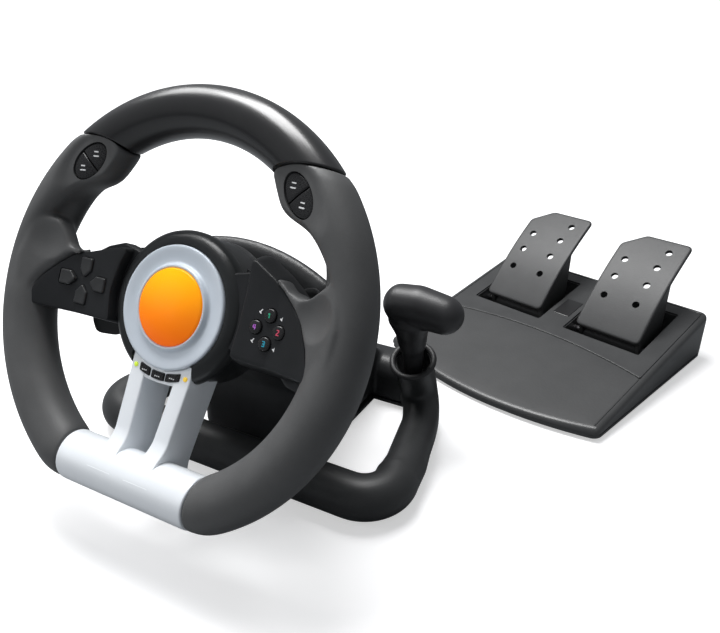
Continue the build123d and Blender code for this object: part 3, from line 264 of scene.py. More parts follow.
def lathe(profile, segments, ring=False, about=(0.0, 0.0)):
    """Each (radius, height) of the profile goes once round the axis."""
    profile = np.asarray(profile, float)
    turn = np.linspace(0, 2 * math.pi, segments, endpoint=False)
    grid = np.empty((len(profile), segments, 3))
    grid[..., 0] = about[0] + profile[:, :1] * np.cos(turn)
    grid[..., 1] = about[1] + profile[:, :1] * np.sin(turn)
    grid[..., 2] = profile[:, 1:2]
    return skin(grid, ring)


def sweep(path, radii, around, side=(0.0, 0.0, 1.0)):
    """A round section of the given radius stands square to the path at each of its points."""
    path = np.asarray(path, float)
    run = np.gradient(path, axis=0)
    run /= np.linalg.norm(run, axis=1)[:, None]
    across = np.cross(run, np.asarray(side, float))
    across /= np.linalg.norm(across, axis=1)[:, None]
    rise = np.cross(across, run)
    turn = np.linspace(0, 2 * math.pi, around, endpoint=False)
    radii = np.broadcast_to(radii, len(path))[:, None, None]
    grid = path[:, None] + radii * (np.cos(turn)[None, :, None] * across[:, None]
                                    + np.sin(turn)[None, :, None] * rise[:, None])
    return skin(grid)


def blocky(x0, x1, y0, y1, z0, z1, radius):
    """A box for cutting: its upright edges are rounded."""
    return plate(rounded([(x0, y0), (x1, y0), (x1, y1), (x0, y1)], radius), [(0.0, z0), (0.0, z1)])


def stood_up(shape):
    """Lets a plate drawn as (y, z) stand, with its thickness along x; its faces still look outwards."""
    points, faces = shape
    return points[:, [2, 0, 1]], faces


print("helpers ready")

# %% [markdown]
# Nearly everything here is moulded plastic or rubber, and what tells them apart is how they scatter
# light. A spark-eroded mould leaves a fine pebbled grain, a rubber skin is duller, and gloss paint is
# nearly smooth. One node group makes all of these: it varies the colour slowly over the piece and the
# roughness with the grain, and gives a height for the grain. It reads Object coordinates, so the
# pattern stays on the piece when it moves.

# %% The moulded-surface group
def new_material(name):
    """A new node material, its nodes and its links."""
    made = bpy.data.materials.new(name)
    made.use_nodes = True
    return made, made.node_tree.nodes, made.node_tree.links


def moulded_group():
    """Colour, roughness and grain height from noise at three sizes of Object coordinates."""
    group = bpy.data.node_groups.new("moulded_surface", "ShaderNodeTree")
    face = group.interface
    for title, kind, value in (("Colour", "NodeSocketColor", (0.03, 0.03, 0.03, 1)),
                               ("Worn Colour", "NodeSocketColor", (0.06, 0.06, 0.06, 1)),
                               ("Roughness Low", "NodeSocketFloat", 0.4),
                               ("Roughness High", "NodeSocketFloat", 0.5),
                               ("Grain Scale", "NodeSocketFloat", 1500.0),
                               ("Grain Depth", "NodeSocketFloat", 1.0),
                               ("Mottle Scale", "NodeSocketFloat", 28.0)):
        socket = face.new_socket(name=title, in_out="INPUT", socket_type=kind)
        socket.default_value = value
    for title, kind in (("Colour", "NodeSocketColor"), ("Roughness", "NodeSocketFloat"),
                        ("Height", "NodeSocketFloat")):
        face.new_socket(name=title, in_out="OUTPUT", socket_type=kind)
    nodes, links = group.nodes, group.links
    inward = nodes.new("NodeGroupInput")
    outward = nodes.new("NodeGroupOutput")
    where = nodes.new("ShaderNodeTexCoord")
    mottle = nodes.new("ShaderNodeTexNoise")
    mottle.inputs["Detail"].default_value = 6.0
    mottle.inputs["Roughness"].default_value = 0.6
    grain = nodes.new("ShaderNodeTexNoise")
    grain.inputs["Detail"].default_value = 2.0
    pebble = nodes.new("ShaderNodeTexVoronoi")
    pebble.feature = "SMOOTH_F1"
    links.new(where.outputs["Object"], mottle.inputs["Vector"])
    links.new(where.outputs["Object"], grain.inputs["Vector"])
    links.new(where.outputs["Object"], pebble.inputs["Vector"])
    links.new(inward.outputs["Mottle Scale"], mottle.inputs["Scale"])
    links.new(inward.outputs["Grain Scale"], grain.inputs["Scale"])
    links.new(inward.outputs["Grain Scale"], pebble.inputs["Scale"])
    spread = nodes.new("ShaderNodeMapRange")
    spread.inputs["From Min"].default_value = 0.35
    spread.inputs["From Max"].default_value = 0.68
    links.new(mottle.outputs["Fac"], spread.inputs["Value"])
    tint = nodes.new("ShaderNodeMix")
    tint.data_type = "RGBA"
    links.new(spread.outputs["Result"], tint.inputs["Factor"])
    links.new(inward.outputs["Colour"], tint.inputs["A"])
    links.new(inward.outputs["Worn Colour"], tint.inputs["B"])
    links.new(tint.outputs["Result"], outward.inputs["Colour"])
    rough = nodes.new("ShaderNodeMapRange")
    links.new(grain.outputs["Fac"], rough.inputs["Value"])
    links.new(inward.outputs["Roughness Low"], rough.inputs["To Min"])
    links.new(inward.outputs["Roughness High"], rough.inputs["To Max"])
    links.new(rough.outputs["Result"], outward.inputs["Roughness"])
    mix = nodes.new("ShaderNodeMath")
    mix.operation = "MULTIPLY_ADD"
    mix.inputs[1].default_value = -0.6
    links.new(pebble.outputs["Distance"], mix.inputs[0])
    links.new(grain.outputs["Fac"], mix.inputs[2])
    deep = nodes.new("ShaderNodeMath")
    deep.operation = "MULTIPLY"
    links.new(mix.outputs["Value"], deep.inputs[0])
    links.new(inward.outputs["Grain Depth"], deep.inputs[1])
    links.new(deep.outputs["Value"], outward.inputs["Height"])
    return group


MOULDED = moulded_group()
print("group sockets:", [item.name for item in MOULDED.interface.items_tree])

# %% [markdown]
# A finish is then a Principled shader fed by that group, with its own constants: how strong the grain
# is, how much clear coat lies on it and how metallic it is. The colours are those of the
# plastic itself, which under plain light come out about as they are written.

# %% The finishes
FINISH = {}


def finish(name, colour, worn, low, high, scale, depth, coat=0.0, coat_rough=0.1, metal=0.0,
           mottle=28.0, specular=0.5):
    """One material from the moulded group, kept in the table by its name."""
    made, nodes, links = new_material(name)
    shader = nodes["Principled BSDF"]
    surface = nodes.new("ShaderNodeGroup")
    surface.node_tree = MOULDED
    for title, value in (("Colour", (*colour, 1)), ("Worn Colour", (*worn, 1)), ("Roughness Low", low),
                         ("Roughness High", high), ("Grain Scale", scale), ("Grain Depth", depth),
                         ("Mottle Scale", mottle)):
        surface.inputs[title].default_value = value
    relief = nodes.new("ShaderNodeBump")
    relief.inputs["Strength"].default_value = 0.35
    relief.inputs["Distance"].default_value = 0.00012
    links.new(surface.outputs["Colour"], shader.inputs["Base Color"])
    links.new(surface.outputs["Roughness"], shader.inputs["Roughness"])
    links.new(surface.outputs["Height"], relief.inputs["Height"])
    links.new(relief.outputs["Normal"], shader.inputs["Normal"])
    shader.inputs["Coat Weight"].default_value = coat
    shader.inputs["Coat Roughness"].default_value = coat_rough
    shader.inputs["Metallic"].default_value = metal
    shader.inputs["Specular IOR Level"].default_value = specular
    FINISH[name] = made
    return made


finish("grip_rubber", (0.072, 0.073, 0.074), (0.090, 0.091, 0.092), 0.46, 0.56, 900, 0.9)
finish("gloss_black", (0.016, 0.016, 0.017), (0.019, 0.019, 0.020), 0.27, 0.30, 900, 0.005,
       coat=0.3, coat_rough=0.2)
finish("bezel_black", (0.016, 0.017, 0.018), (0.022, 0.024, 0.025), 0.27, 0.34, 1400, 0.25,
       specular=0.35)
finish("panel_black", (0.014, 0.015, 0.016), (0.019, 0.020, 0.022), 0.36, 0.44, 1100, 0.5,
       specular=0.25)
finish("shell_black", (0.016, 0.017, 0.018), (0.024, 0.025, 0.027), 0.38, 0.48, 800, 0.9)
finish("key_black", (0.014, 0.014, 0.015), (0.019, 0.019, 0.020), 0.24, 0.31, 1500, 0.15)
finish("pad_key", (0.022, 0.023, 0.024), (0.030, 0.031, 0.032), 0.36, 0.44, 1200, 0.5)
finish("lever_black", (0.018, 0.018, 0.019), (0.026, 0.026, 0.028), 0.36, 0.45, 900, 0.6)
finish("loop_rubber", (0.022, 0.023, 0.024), (0.030, 0.031, 0.032), 0.40, 0.50, 900, 0.7)
finish("pedal_grey", (0.042, 0.043, 0.044), (0.054, 0.055, 0.056), 0.30, 0.38, 700, 0.6)
finish("pedal_black", (0.036, 0.037, 0.038), (0.048, 0.049, 0.050), 0.37, 0.46, 800, 0.8,
       specular=0.35)
finish("mat_grey", (0.036, 0.037, 0.038), (0.045, 0.046, 0.047), 0.46, 0.56, 500, 1.4)
finish("foot_rubber", (0.017, 0.017, 0.018), (0.026, 0.026, 0.027), 0.45, 0.60, 900, 0.8)
finish("core_plastic", (0.03, 0.03, 0.031), (0.04, 0.04, 0.041), 0.40, 0.50, 900, 0.5)
finish("satin_silver", (0.86, 0.895, 0.935), (0.89, 0.925, 0.96), 0.30, 0.38, 1600, 0.12,
       metal=0.2, coat=0.1, coat_rough=0.2)
finish("ring_silver", (0.58, 0.64, 0.71), (0.64, 0.70, 0.77), 0.38, 0.46, 1600, 0.12,
       metal=0.15)
finish("steel", (0.50, 0.50, 0.52), (0.60, 0.60, 0.61), 0.22, 0.36, 900, 0.3, metal=1.0)
finish("brass", (0.62, 0.43, 0.16), (0.74, 0.55, 0.25), 0.22, 0.36, 900, 0.3, metal=1.0)
finish("membrane_grey", (0.30, 0.30, 0.31), (0.36, 0.36, 0.37), 0.5, 0.6, 900, 0.5)
finish("sensor_blue", (0.03, 0.08, 0.30), (0.05, 0.11, 0.38), 0.3, 0.4, 900, 0.3)
finish("circuit_green", (0.01, 0.10, 0.035), (0.02, 0.17, 0.06), 0.25, 0.40, 350, 0.4,
       mottle=260.0, coat=0.3)
finish("ink_white", (0.74, 0.75, 0.76), (0.80, 0.80, 0.81), 0.4, 0.5, 900, 0.1)
finish("ink_green", (0.02, 0.42, 0.22), (0.03, 0.50, 0.27), 0.35, 0.45, 900, 0.1)
finish("ink_red", (0.62, 0.06, 0.12), (0.70, 0.09, 0.16), 0.35, 0.45, 900, 0.1)
finish("ink_violet", (0.44, 0.12, 0.60), (0.52, 0.16, 0.68), 0.35, 0.45, 900, 0.1)
finish("ink_blue", (0.02, 0.30, 0.44), (0.03, 0.38, 0.52), 0.35, 0.45, 900, 0.1)
print(len(FINISH), "finishes")

# %% [markdown]
# The middle of the hub is a dome under a thin clear coat. Its colour is painted light: it runs from amber
# at the top to a deep orange below, as if lit from behind, following height in Object coordinates through
# a ramp, and the dome has a painted glow though it is no lamp. The two little lamps are tinted lenses
# that glow a little.

# %% Dome and lamp finishes
def dome_finish():
    """Painted light by height across the dome, paler at the top, and a painted glow, under a thin clear coat.
    """
    made, nodes, links = new_material("orange_gloss")
    shader = nodes["Principled BSDF"]
    where = nodes.new("ShaderNodeTexCoord")
    split = nodes.new("ShaderNodeSeparateXYZ")
    height = nodes.new("ShaderNodeMapRange")
    height.inputs["From Min"].default_value = 0.122
    height.inputs["From Max"].default_value = 0.162
    # The ramp paints light into the colour: pale amber at the top, deep orange below.
    ramp = nodes.new("ShaderNodeValToRGB")
    ramp.color_ramp.elements[0].color = (0.86, 0.13, 0.004, 1)
    ramp.color_ramp.elements[1].color = (0.94, 0.42, 0.004, 1)
    middle = ramp.color_ramp.elements.new(0.45)
    middle.color = (0.90, 0.22, 0.006, 1)
    speck = nodes.new("ShaderNodeTexNoise")
    speck.inputs["Scale"].default_value = 900.0
    rough = nodes.new("ShaderNodeMapRange")
    rough.inputs["To Min"].default_value = 0.22
    rough.inputs["To Max"].default_value = 0.30
    links.new(where.outputs["Object"], split.inputs["Vector"])
    links.new(split.outputs["Z"], height.inputs["Value"])
    links.new(height.outputs["Result"], ramp.inputs["Fac"])
    links.new(ramp.outputs["Color"], shader.inputs["Base Color"])
    # Painted glow: the dome is no lamp, but its colour shines with a little light of its own.
    links.new(ramp.outputs["Color"], shader.inputs["Emission Color"])
    shader.inputs["Emission Strength"].default_value = 0.35
    links.new(where.outputs["Object"], speck.inputs["Vector"])
    links.new(speck.outputs["Fac"], rough.inputs["Value"])
    links.new(rough.outputs["Result"], shader.inputs["Roughness"])
    shader.inputs["Coat Weight"].default_value = 0.08
    shader.inputs["Coat Roughness"].default_value = 0.2
    shader.inputs["Specular IOR Level"].default_value = 0.15
    return made


def lamp_finish(name, colour):
    """A tinted lens under a clear coat, with a little light of its own."""
    made = finish(name, colour, tuple(min(1.0, 1.2 * v) for v in colour), 0.12, 0.2, 600, 0.05, coat=0.8)
    shader = made.node_tree.nodes["Principled BSDF"]
    shader.inputs["Emission Color"].default_value = (*colour, 1)
    shader.inputs["Emission Strength"].default_value = 0.35


FINISH["orange_gloss"] = dome_finish()
lamp_finish("lamp_green", (0.62, 0.80, 0.06))
lamp_finish("lamp_amber", (0.90, 0.58, 0.06))
FINISH["light_lens"] = FINISH["lamp_green"]
print("dome and lamps done")

# %% [markdown]
# Every CAD part that is already right keeps its own mesh and only gets the finish of its slot. The
# pieces built further on take the place of some of them.

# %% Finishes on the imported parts
slot_of = {part["node"]: part["material_slot"] for part in frame["record"]["subparts"]}
for node, thing in frame["nodes"].items():
    thing.data.materials.clear()
    thing.data.materials.append(FINISH[slot_of[node]])
print("dressed", len(slot_of), "packed parts")

# %% [markdown]
# The scene is a pale floor under soft lamps, as in a catalogue picture: a box above, a smaller one
# behind at the left and a large one at the front left, which gloss does not mirror. The floor and the
# world look white to the camera through Light Path, so no lamp has to burn them out, and the floor
# still takes the shadow.

# %% Floor, lamps and camera
FLOOR_GLOW = 0.5
SKY_LIGHT = 0.25


def white_floor():
    """A grey matt floor, which to the camera is paler and glows the more the farther it lies."""
    made, nodes, links = new_material("studio_floor")
    nodes.remove(nodes["Principled BSDF"])
    path = nodes.new("ShaderNodeLightPath")
    tint = nodes.new("ShaderNodeMix")
    tint.data_type = "RGBA"
    tint.inputs["A"].default_value = (0.24, 0.25, 0.26, 1)
    tint.inputs["B"].default_value = (0.72, 0.72, 0.73, 1)
    links.new(path.outputs["Is Camera Ray"], tint.inputs["Factor"])
    matt = nodes.new("ShaderNodeBsdfDiffuse")
    links.new(tint.outputs["Result"], matt.inputs["Color"])
    where = nodes.new("ShaderNodeTexCoord")
    far = nodes.new("ShaderNodeVectorMath")
    far.operation = "LENGTH"
    links.new(where.outputs["Object"], far.inputs[0])
    rise = nodes.new("ShaderNodeMapRange")
    for title, value in (("From Min", 0.45), ("From Max", 1.3), ("To Min", FLOOR_GLOW), ("To Max", 1.0)):
        rise.inputs[title].default_value = value
    links.new(far.outputs["Value"], rise.inputs["Value"])
    share = nodes.new("ShaderNodeMath")
    share.operation = "MULTIPLY"
    links.new(rise.outputs["Result"], share.inputs[0])
    links.new(path.outputs["Is Camera Ray"], share.inputs[1])
    glow = nodes.new("ShaderNodeEmission")
    links.new(share.outputs["Value"], glow.inputs["Strength"])
    both = nodes.new("ShaderNodeAddShader")
    links.new(matt.outputs["BSDF"], both.inputs[0])
    links.new(glow.outputs["Emission"], both.inputs[1])
    links.new(both.outputs["Shader"], nodes["Material Output"].inputs["Surface"])
    return made


points = np.array([[-30.0, -30, 0], [30, -30, 0], [30, 30, 0], [-30, 30, 0]])
ground = bpy.data.meshes.new("studio_floor")
ground.from_pydata(points.tolist(), [], [(0, 1, 2, 3)])
floor = bpy.data.objects.new("studio_floor", ground)
ground.materials.append(white_floor())
bpy.context.scene.collection.objects.link(floor)

world = bpy.data.worlds.new("studio")
bpy.context.scene.world = world
world.use_nodes = True
sky = world.node_tree.nodes
sky_links = world.node_tree.links
soft = sky["Background"]
soft.inputs["Color"].default_value = (0.93, 0.96, 1.0, 1)
soft.inputs["Strength"].default_value = SKY_LIGHT
white = sky.new("ShaderNodeBackground")
white.inputs["Color"].default_value = (1, 1, 1, 1)
white.inputs["Strength"].default_value = 1.0
path = sky.new("ShaderNodeLightPath")
pick = sky.new("ShaderNodeMixShader")
sky_links.new(path.outputs["Is Camera Ray"], pick.inputs["Fac"])
sky_links.new(soft.outputs["Background"], pick.inputs[1])
sky_links.new(white.outputs["Background"], pick.inputs[2])
sky_links.new(pick.outputs["Shader"], sky["World Output"].inputs["Surface"])


def soft_lamp(name, spot, target, wide, tall, power, mirrored_by_gloss=True):
    """A rectangular soft box that looks at a point; gloss may be kept from mirroring it."""
    data = bpy.data.lights.new(name, "AREA")
    data.shape, data.size, data.size_y = "RECTANGLE", wide, tall
    data.energy = power
    lamp = bpy.data.objects.new(name, data)
    lamp.visible_glossy = mirrored_by_gloss
    look = Vector(target) - Vector(spot)
    lamp.matrix_world = Matrix.Translation(spot) @ look.to_track_quat("-Z", "Y").to_matrix().to_4x4()
    bpy.context.scene.collection.objects.link(lamp)


soft_lamp("top_box", (-0.22, 0.12, 1.22), (0.03, -0.06, 0.12), 0.6, 0.6, 17.0)
soft_lamp("back_box", (-0.75, 0.15, 1.1), (0.05, 0.1, 0.1), 0.5, 0.5, 5.5)
soft_lamp("left_box", (-0.9, -1.1, 0.8), (-0.02, -0.14, 0.15), 0.9, 0.9, 9.0, mirrored_by_gloss=False)

camera_data = bpy.data.cameras.new("camera")
FOCAL_LENGTH, SENSOR_WIDTH = 35.577, 36.0
camera_data.lens, camera_data.sensor_width = FOCAL_LENGTH, SENSOR_WIDTH
camera = bpy.data.objects.new("camera", camera_data)
axes = np.array([[0.8785, 0.4778, 0.0], [-0.2123, 0.3903, 0.8959], [0.4281, -0.7870, 0.4443]])
turn = Matrix(axes.T.tolist()).to_4x4()
camera.matrix_world = Matrix.Translation((0.267494, -0.433030, 0.315688)) @ turn
bpy.context.scene.collection.objects.link(camera)
bpy.context.scene.camera = camera
bpy.context.scene.view_settings.view_transform = "Standard"
print("studio ready")

# %% [markdown]
# ## The rim
# The rim is a round bar bent into a circle with a flat foot. An angle b runs round it: below the
# corners the bar's middle follows a small circle, above them the big one. A second angle p goes round
# the bar itself. Grip, cover and silver bar all use the same path, each with its own radius and its
# own start and end, which lie in flat seams cut straight across the rim.

# %% The path of the rim
RIM, TUBE, GRIP = 112.0, 15.0, 15.9
CORNER = 32.0
CORNER_AT = np.array([42.46, -67.8])
CORNER_END = math.atan2(CORNER_AT[1], CORNER_AT[0])
BAR_SEAM, TOP_SEAM = 47.0, 88.6


def rim_middle(b):
    """Middle at angle b: corner centre + 32 (cos b, sin b) in the corner, else 112 (cos b, sin b)."""
    out = np.stack([np.cos(b), np.sin(b)], axis=-1)
    low = (b < CORNER_END)[..., None]
    return np.where(low, CORNER_AT + CORNER * out, RIM * out)


def rim_point(b, p, radius):
    """The middle, plus the radius times cos p outwards and sin p towards the driver."""
    middle = rim_middle(b)
    x = middle[..., 0] + radius * np.cos(p) * np.cos(b)
    u = middle[..., 1] + radius * np.cos(p) * np.sin(b)
    return np.stack([x, u, radius * np.sin(p)], axis=-1)


def smooth_step(low, high, value):
    """0 below low, 1 above high, and 3 t t - 2 t t t between."""
    t = np.clip((value - low) / (high - low), 0, 1)
    return t * t * (3 - 2 * t)


def bell(value, middle, width):
    """1 at the middle, falling off as exp(-((value - middle) / width)^2)."""
    return np.exp(-((value - middle) / width) ** 2)


def seam_height(p):
    """The upper seam is level outside and in front, and dips by 6.5 mm round the bar's inner side."""
    return TOP_SEAM + 0.3 - 6.5 * ((1 - np.cos(p)) / 2) ** 3


def dent(points, centre, radius, soft):
    """Points at depth d inside a ball move out by d d / (d + soft), which presses a soft hollow."""
    away = points - centre
    far = np.linalg.norm(away, axis=1)
    deep = np.clip(radius - far, 0, None)
    push = deep * deep / (deep + soft)
    return points + away / far[:, None] * push[:, None]


print("corner ends at", round(math.degrees(CORNER_END), 2), "degrees")

# %% [markdown]
# The gloss cover wraps the top of the rim. Its two ends are cut across in a line that dips round the
# inner side, and the last millimetre turns in, so that a dark line shows between cover and rubber.

# %% Gloss cover over the top
def cover_grid():
    """Row s runs from one level seam to the other; the radius drops in a quarter round at each end."""
    rows, cols = 220, 72
    p = np.linspace(0, 2 * math.pi, cols, endpoint=False)[None, :]
    s = np.linspace(-1, 1, rows)
    s = np.sign(s) * (1 - (1 - np.abs(s)) ** 1.25)
    start = np.arcsin((seam_height(p) + 0.12) / (RIM + TUBE * np.cos(p)))
    b = math.pi / 2 - s[:, None] * (math.pi / 2 - start)
    run = RIM * (math.pi / 2 - start) * (1 - np.abs(s[:, None]))
    radius = TUBE - 0.9 * (1 - np.sqrt(np.clip(1 - (1 - np.clip(run / 0.9, 0, 1)) ** 2, 0, 1)))
    return rim_point(b, p + 0 * b, radius + 0 * b)


cover = new_object("top_cover", skin(cover_grid()), WHEEL)
settle(cover, "steering_wheel", "gloss_black", FINISH["gloss_black"], "rim_top_cover")

# %% [markdown]
# Each rubber grip starts as the bar, whose radius swells to carry the thumb keys and shrinks again
# below them, where the thumb hooks over. A lip round the keys and a lobe along the top of the panel
# are melted into it. Then a hollow is pressed in for the thumb, the land round the keys is flattened,
# and the well for the keys is cut out. The keys do not face straight forward: their plane leans 10
# degrees towards the hub.

# %% Grips: bar, pod and lobe
PANEL_FACE = 2.0


def pod_place():
    """Origin and axes (down the rim, outwards, off the keys): three small turns from the rim's own."""
    up_rim, lean, nod, twist = 44.6, 10.3, 2.9, 4.4
    a, d, e, w = (math.radians(v) for v in (up_rim, lean, nod, twist))
    outwards = np.array([math.cos(a) * math.cos(d), math.sin(a) * math.cos(d), math.sin(d)])
    down = np.array([math.sin(a), -math.cos(a), 0.0])
    off = np.cross(down, outwards)
    down = down * math.cos(e) + off * math.sin(e)
    down, outwards = (down * math.cos(w) - outwards * math.sin(w),
                      down * math.sin(w) + outwards * math.cos(w))
    return np.array([73.45, 72.44, 10.9]), np.stack([down, outwards, np.cross(down, outwards)])


POD = pod_place()
KEY_LONG, KEY_WIDE = 13.2, 8.0
LOBE = [(65, 28.5), (69.5, 29.5), (76.5, 24.1), (83.7, 22.2), (90, 22), (96, 27), (108, 38), (114, 10),
        (112, -28), (101, -34), (98.3, -17), (97.6, -10), (95.6, -3.4), (92.2, 2.6), (88.2, 9.3),
        (82.2, 15.6), (73.7, 22.6)]
LEFT_LOBE = [(70.5, 19.0), (76.5, 19.6), (80.5, 22.2), (84.5, 28), (91, 36), (108, 38), (114, 10),
             (112, -28), (103, -34), (101.8, -18.6), (100.5, -10.5), (95, 0.2), (87, 9), (79.2, 15.9),
             (74, 18.6)]


def in_pod(shape):
    """Lays a shape drawn as (along, across, up) on the plane of the thumb keys."""
    points, faces = shape
    return POD[0] + points @ POD[1], faces


def grip_grid(hook):
    """Radius 15.9, closing at the seams, plus 7.3 mm behind the keys, minus 9 mm where the thumb hooks."""
    rows, cols = 190, 96
    p = np.linspace(0, 2 * math.pi, cols, endpoint=False)[None, :] + np.zeros((rows, 1))
    t = np.linspace(0, 1, rows)[:, None]
    low = -np.arccos((BAR_SEAM + 0.15 - CORNER_AT[0]) / (CORNER + TUBE * np.cos(p)))
    high = np.arcsin((seam_height(p) - 0.25) / (RIM + TUBE * np.cos(p)))
    b = low + (high - low) * t
    step = np.linalg.norm(np.diff(rim_middle(b), axis=0), axis=2)
    run = np.vstack([np.zeros((1, cols)), np.cumsum(step, axis=0)])
    ends = np.minimum(run, run[-1:] - run)
    radius = TUBE + (GRIP - TUBE) * smooth_step(0, 9, ends)
    radius -= 1.3 * (1 - np.sqrt(1 - (1 - np.clip(ends / 1.3, 0, 1)) ** 2))
    up, about = np.degrees(b), np.degrees(p)
    pod = 7.3 * bell(up, 46, 9) * bell(about, 178, 50)
    thumb = 9.0 * bell(up, 21 + 0.2 * (about - 156), 11) * bell(about, 145, 45)
    return rim_point(b, p, radius + pod - thumb * hook)


def oval(centre, turn, long_half, wide_half, count=96):
    """Points of an ellipse whose long axis is turned from x."""
    t = np.linspace(0, 2 * math.pi, count, endpoint=False)
    x, y = long_half * np.cos(t), wide_half * np.sin(t)
    return np.stack([centre[0] + x * math.cos(turn) - y * math.sin(turn),
                     centre[1] + x * math.sin(turn) + y * math.cos(turn)], axis=1)


def panel_rise(x, y):
    """The panels climb towards the grips: 8.3 mm by |x| = 99, from nothing at |x| = 70."""
    return 8.3 * (np.clip(np.abs(x) - 70, 0, None) / 29) ** 1.25


def grip_shape(side):
    """Bar, lip and lobe, overlapping; the left lobe stays clear of the panel's top edge."""
    right = side > 0
    lip = plate(oval((0, 0), 0, KEY_LONG + 3.4, KEY_WIDE + 3.4), edge_levels(-12, 0.4, 3.4, 8, 3.0))
    corners, radii = (LOBE, [2, 8] + [8] * 14 + [2]) if right else (LEFT_LOBE, [2, 5] + [8] * 12 + [2])
    levels = edge_levels(-12.5, 4.1, 2.6, 6, 2.0) if right else edge_levels(-5.0, 4.4, 4.5, 8, 4.0)
    lobe = plate(evenly(rounded(corners, radii), 260), levels, lift=lambda x, y: panel_rise(x, y) * 0.9)
    return together(skin(grip_grid(1.0 if right else 0.8)), in_pod(lip), lobe)


def back_home(thing, place):
    """A piece's points in its own local frame, in millimetres."""
    points = np.empty(3 * len(thing.data.vertices))
    thing.data.vertices.foreach_get("co", points)
    return (points.reshape(-1, 3) / MM - place[0]) @ place[1].T


def put_back(thing, points, place, sharp):
    """Writes local points back into the mesh."""
    thing.data.vertices.foreach_set("co", to_row(points, place).ravel())
    thing.data.update()
    thing.data.set_sharp_from_angle(angle=math.radians(sharp))


def flat_land(points):
    """What stands over 0.3 mm above the keys' plane sinks, less and less up to 2.3 times their size."""
    local = (points - POD[0]) @ POD[1].T
    far = np.hypot(local[:, 0] / KEY_LONG, local[:, 1] / KEY_WIDE)
    sink = np.clip(local[:, 2] - 0.3, 0, None) * (1 - smooth_step(1.25, 2.3, far))
    return points - sink[:, None] * POD[1][2]


def build_grip(side):
    """One grip: melted, pressed, flattened round the keys, and cut for them."""
    name = ("left" if side < 0 else "right") + "_grip_skin"
    grip = new_object(name, on_side(grip_shape(side), side), WHEEL)
    melt(grip, 0.9, 12 if side > 0 else 26, 50)
    ball, reach, soft = ((91.0, 14.0, 29.5), 24.0, 1.5) if side > 0 else ((87.0, 22.0, 35.0), 29.0, 4.0)
    points = dent(back_home(grip, WHEEL) * (side, 1, 1), np.array(ball), reach, soft)
    put_back(grip, flat_land(points) * (side, 1, 1), WHEEL, 50)
    well = plate(oval((0, 0), 0, KEY_LONG + 0.45, KEY_WIDE + 0.45),
                 [(0, -5.5), (0, 1.0), (-0.7, 2.2), (-1.4, 7)])
    return carve(grip, on_side(in_pod(well), side), WHEEL, 45)


for side, word in ((-1, "left"), (1, "right")):
    settle(build_grip(side), "steering_wheel", "grip_rubber", FINISH["grip_rubber"], word + "_grip")

# %% [markdown]
# The thumb keys are the two halves of one oval, with a hair of space between them and a gently domed
# top. Each carries a pair of tiny printed dashes.

# %% Thumb keys
def half_oval(sign):
    """One half of the keys' oval, cut across its middle, corners rounded."""
    t = np.linspace(-math.pi / 2, math.pi / 2, 40)
    loop = np.stack([sign * (0.25 + (KEY_LONG - 0.25) * np.cos(t)), sign * KEY_WIDE * np.sin(t)], axis=1)
    return evenly(rounded(loop, [0.9] + [0.3] * 38 + [0.9], 3), 90)


def pod_dome(x, y):
    """Nine tenths of a millimetre of crown over the oval."""
    far = np.hypot(x, y * KEY_LONG / KEY_WIDE) / KEY_LONG
    return 0.9 * np.clip(1 - far * far, 0, 1)


def dash(x, y, long, wide, turn, low, high):
    """A printed dash: a thin rounded bar between two heights."""
    c, s = math.cos(turn), math.sin(turn)
    half, tall = long / 2, wide / 2
    corners = np.array([(-half, -tall), (half, -tall), (half, tall), (-half, tall)])
    turned = corners @ np.array([[c, s], [-s, c]]) + (x, y)
    return plate(rounded(turned, 0.45 * wide, 4), [(0.0, low), (0.0, high)], fill=(0.4,))


for side, word in ((-1, "left"), (1, "right")):
    for sign, name in ((-1, "upper"), (1, "lower")):
        cap = plate(half_oval(sign), edge_levels(-2.3, -0.2, 1.1, 6), lift=pod_dome)
        body = f"{word}_pod_button_{name}"
        key = new_object(body + "_cap", on_side(in_pod(cap), side), WHEEL)
        settle(key, body, "key_black", FINISH["key_black"], body)
        marks = [in_pod(dash(sign * 6.1 - 0.9 * k, 0.9 * k, long, 0.75, 0.79, 0.1, 0.62))
                 for k, long in ((1, 3.0), (-1, 3.8))]
        print_on = new_object(body + "_marks", on_side(together(*marks), side), WHEEL)
        settle(print_on, body, "key_black", FINISH["ink_white"])

# %% [markdown]
# ## The silver foot of the rim
# The flat bar follows the same path between its two seams. Two spokes run from the hub down to it;
# their front dips outwards near the foot in one long curve, and lands flush on the front of the bar.

# %% Bar and spokes
def bar_grid():
    """Bar of radius 15 that bends up at both ends, with a low ridge along its upper back."""
    rows, cols = 120, 96
    p = np.linspace(0, 2 * math.pi, cols, endpoint=False)[None, :]
    s = np.linspace(-1, 1, rows)[:, None]
    s = np.sign(s) * (1 - (1 - np.abs(s)) ** 1.3)
    x = (BAR_SEAM - 0.1) * s + 0 * p
    bend = np.clip(np.abs(x) - CORNER_AT[0], 0, None)
    rise = CORNER - np.sqrt(CORNER ** 2 - bend ** 2)
    run = (1 - np.abs(s)) * BAR_SEAM
    radius = TUBE - 1.0 * (1 - np.sqrt(np.clip(1 - (1 - np.clip(run / 1.0, 0, 1)) ** 2, 0, 1)))
    ledge = np.exp(-((p - math.radians(222)) / 0.30) ** 2)
    radius = radius + 0.9 * ledge + 0 * x
    return np.stack([x, -99.8 + rise - radius * np.cos(p), radius * np.sin(p)], axis=-1)


def bezier(a, b, c, d, count):
    """The cubic curve through a and d with handles b and c."""
    t = np.linspace(0, 1, count)[:, None]
    a, b, c, d = (np.asarray(v, float) for v in (a, b, c, d))
    return (1 - t) ** 3 * a + 3 * t * (1 - t) ** 2 * b + 3 * t * t * (1 - t) * c + t ** 3 * d


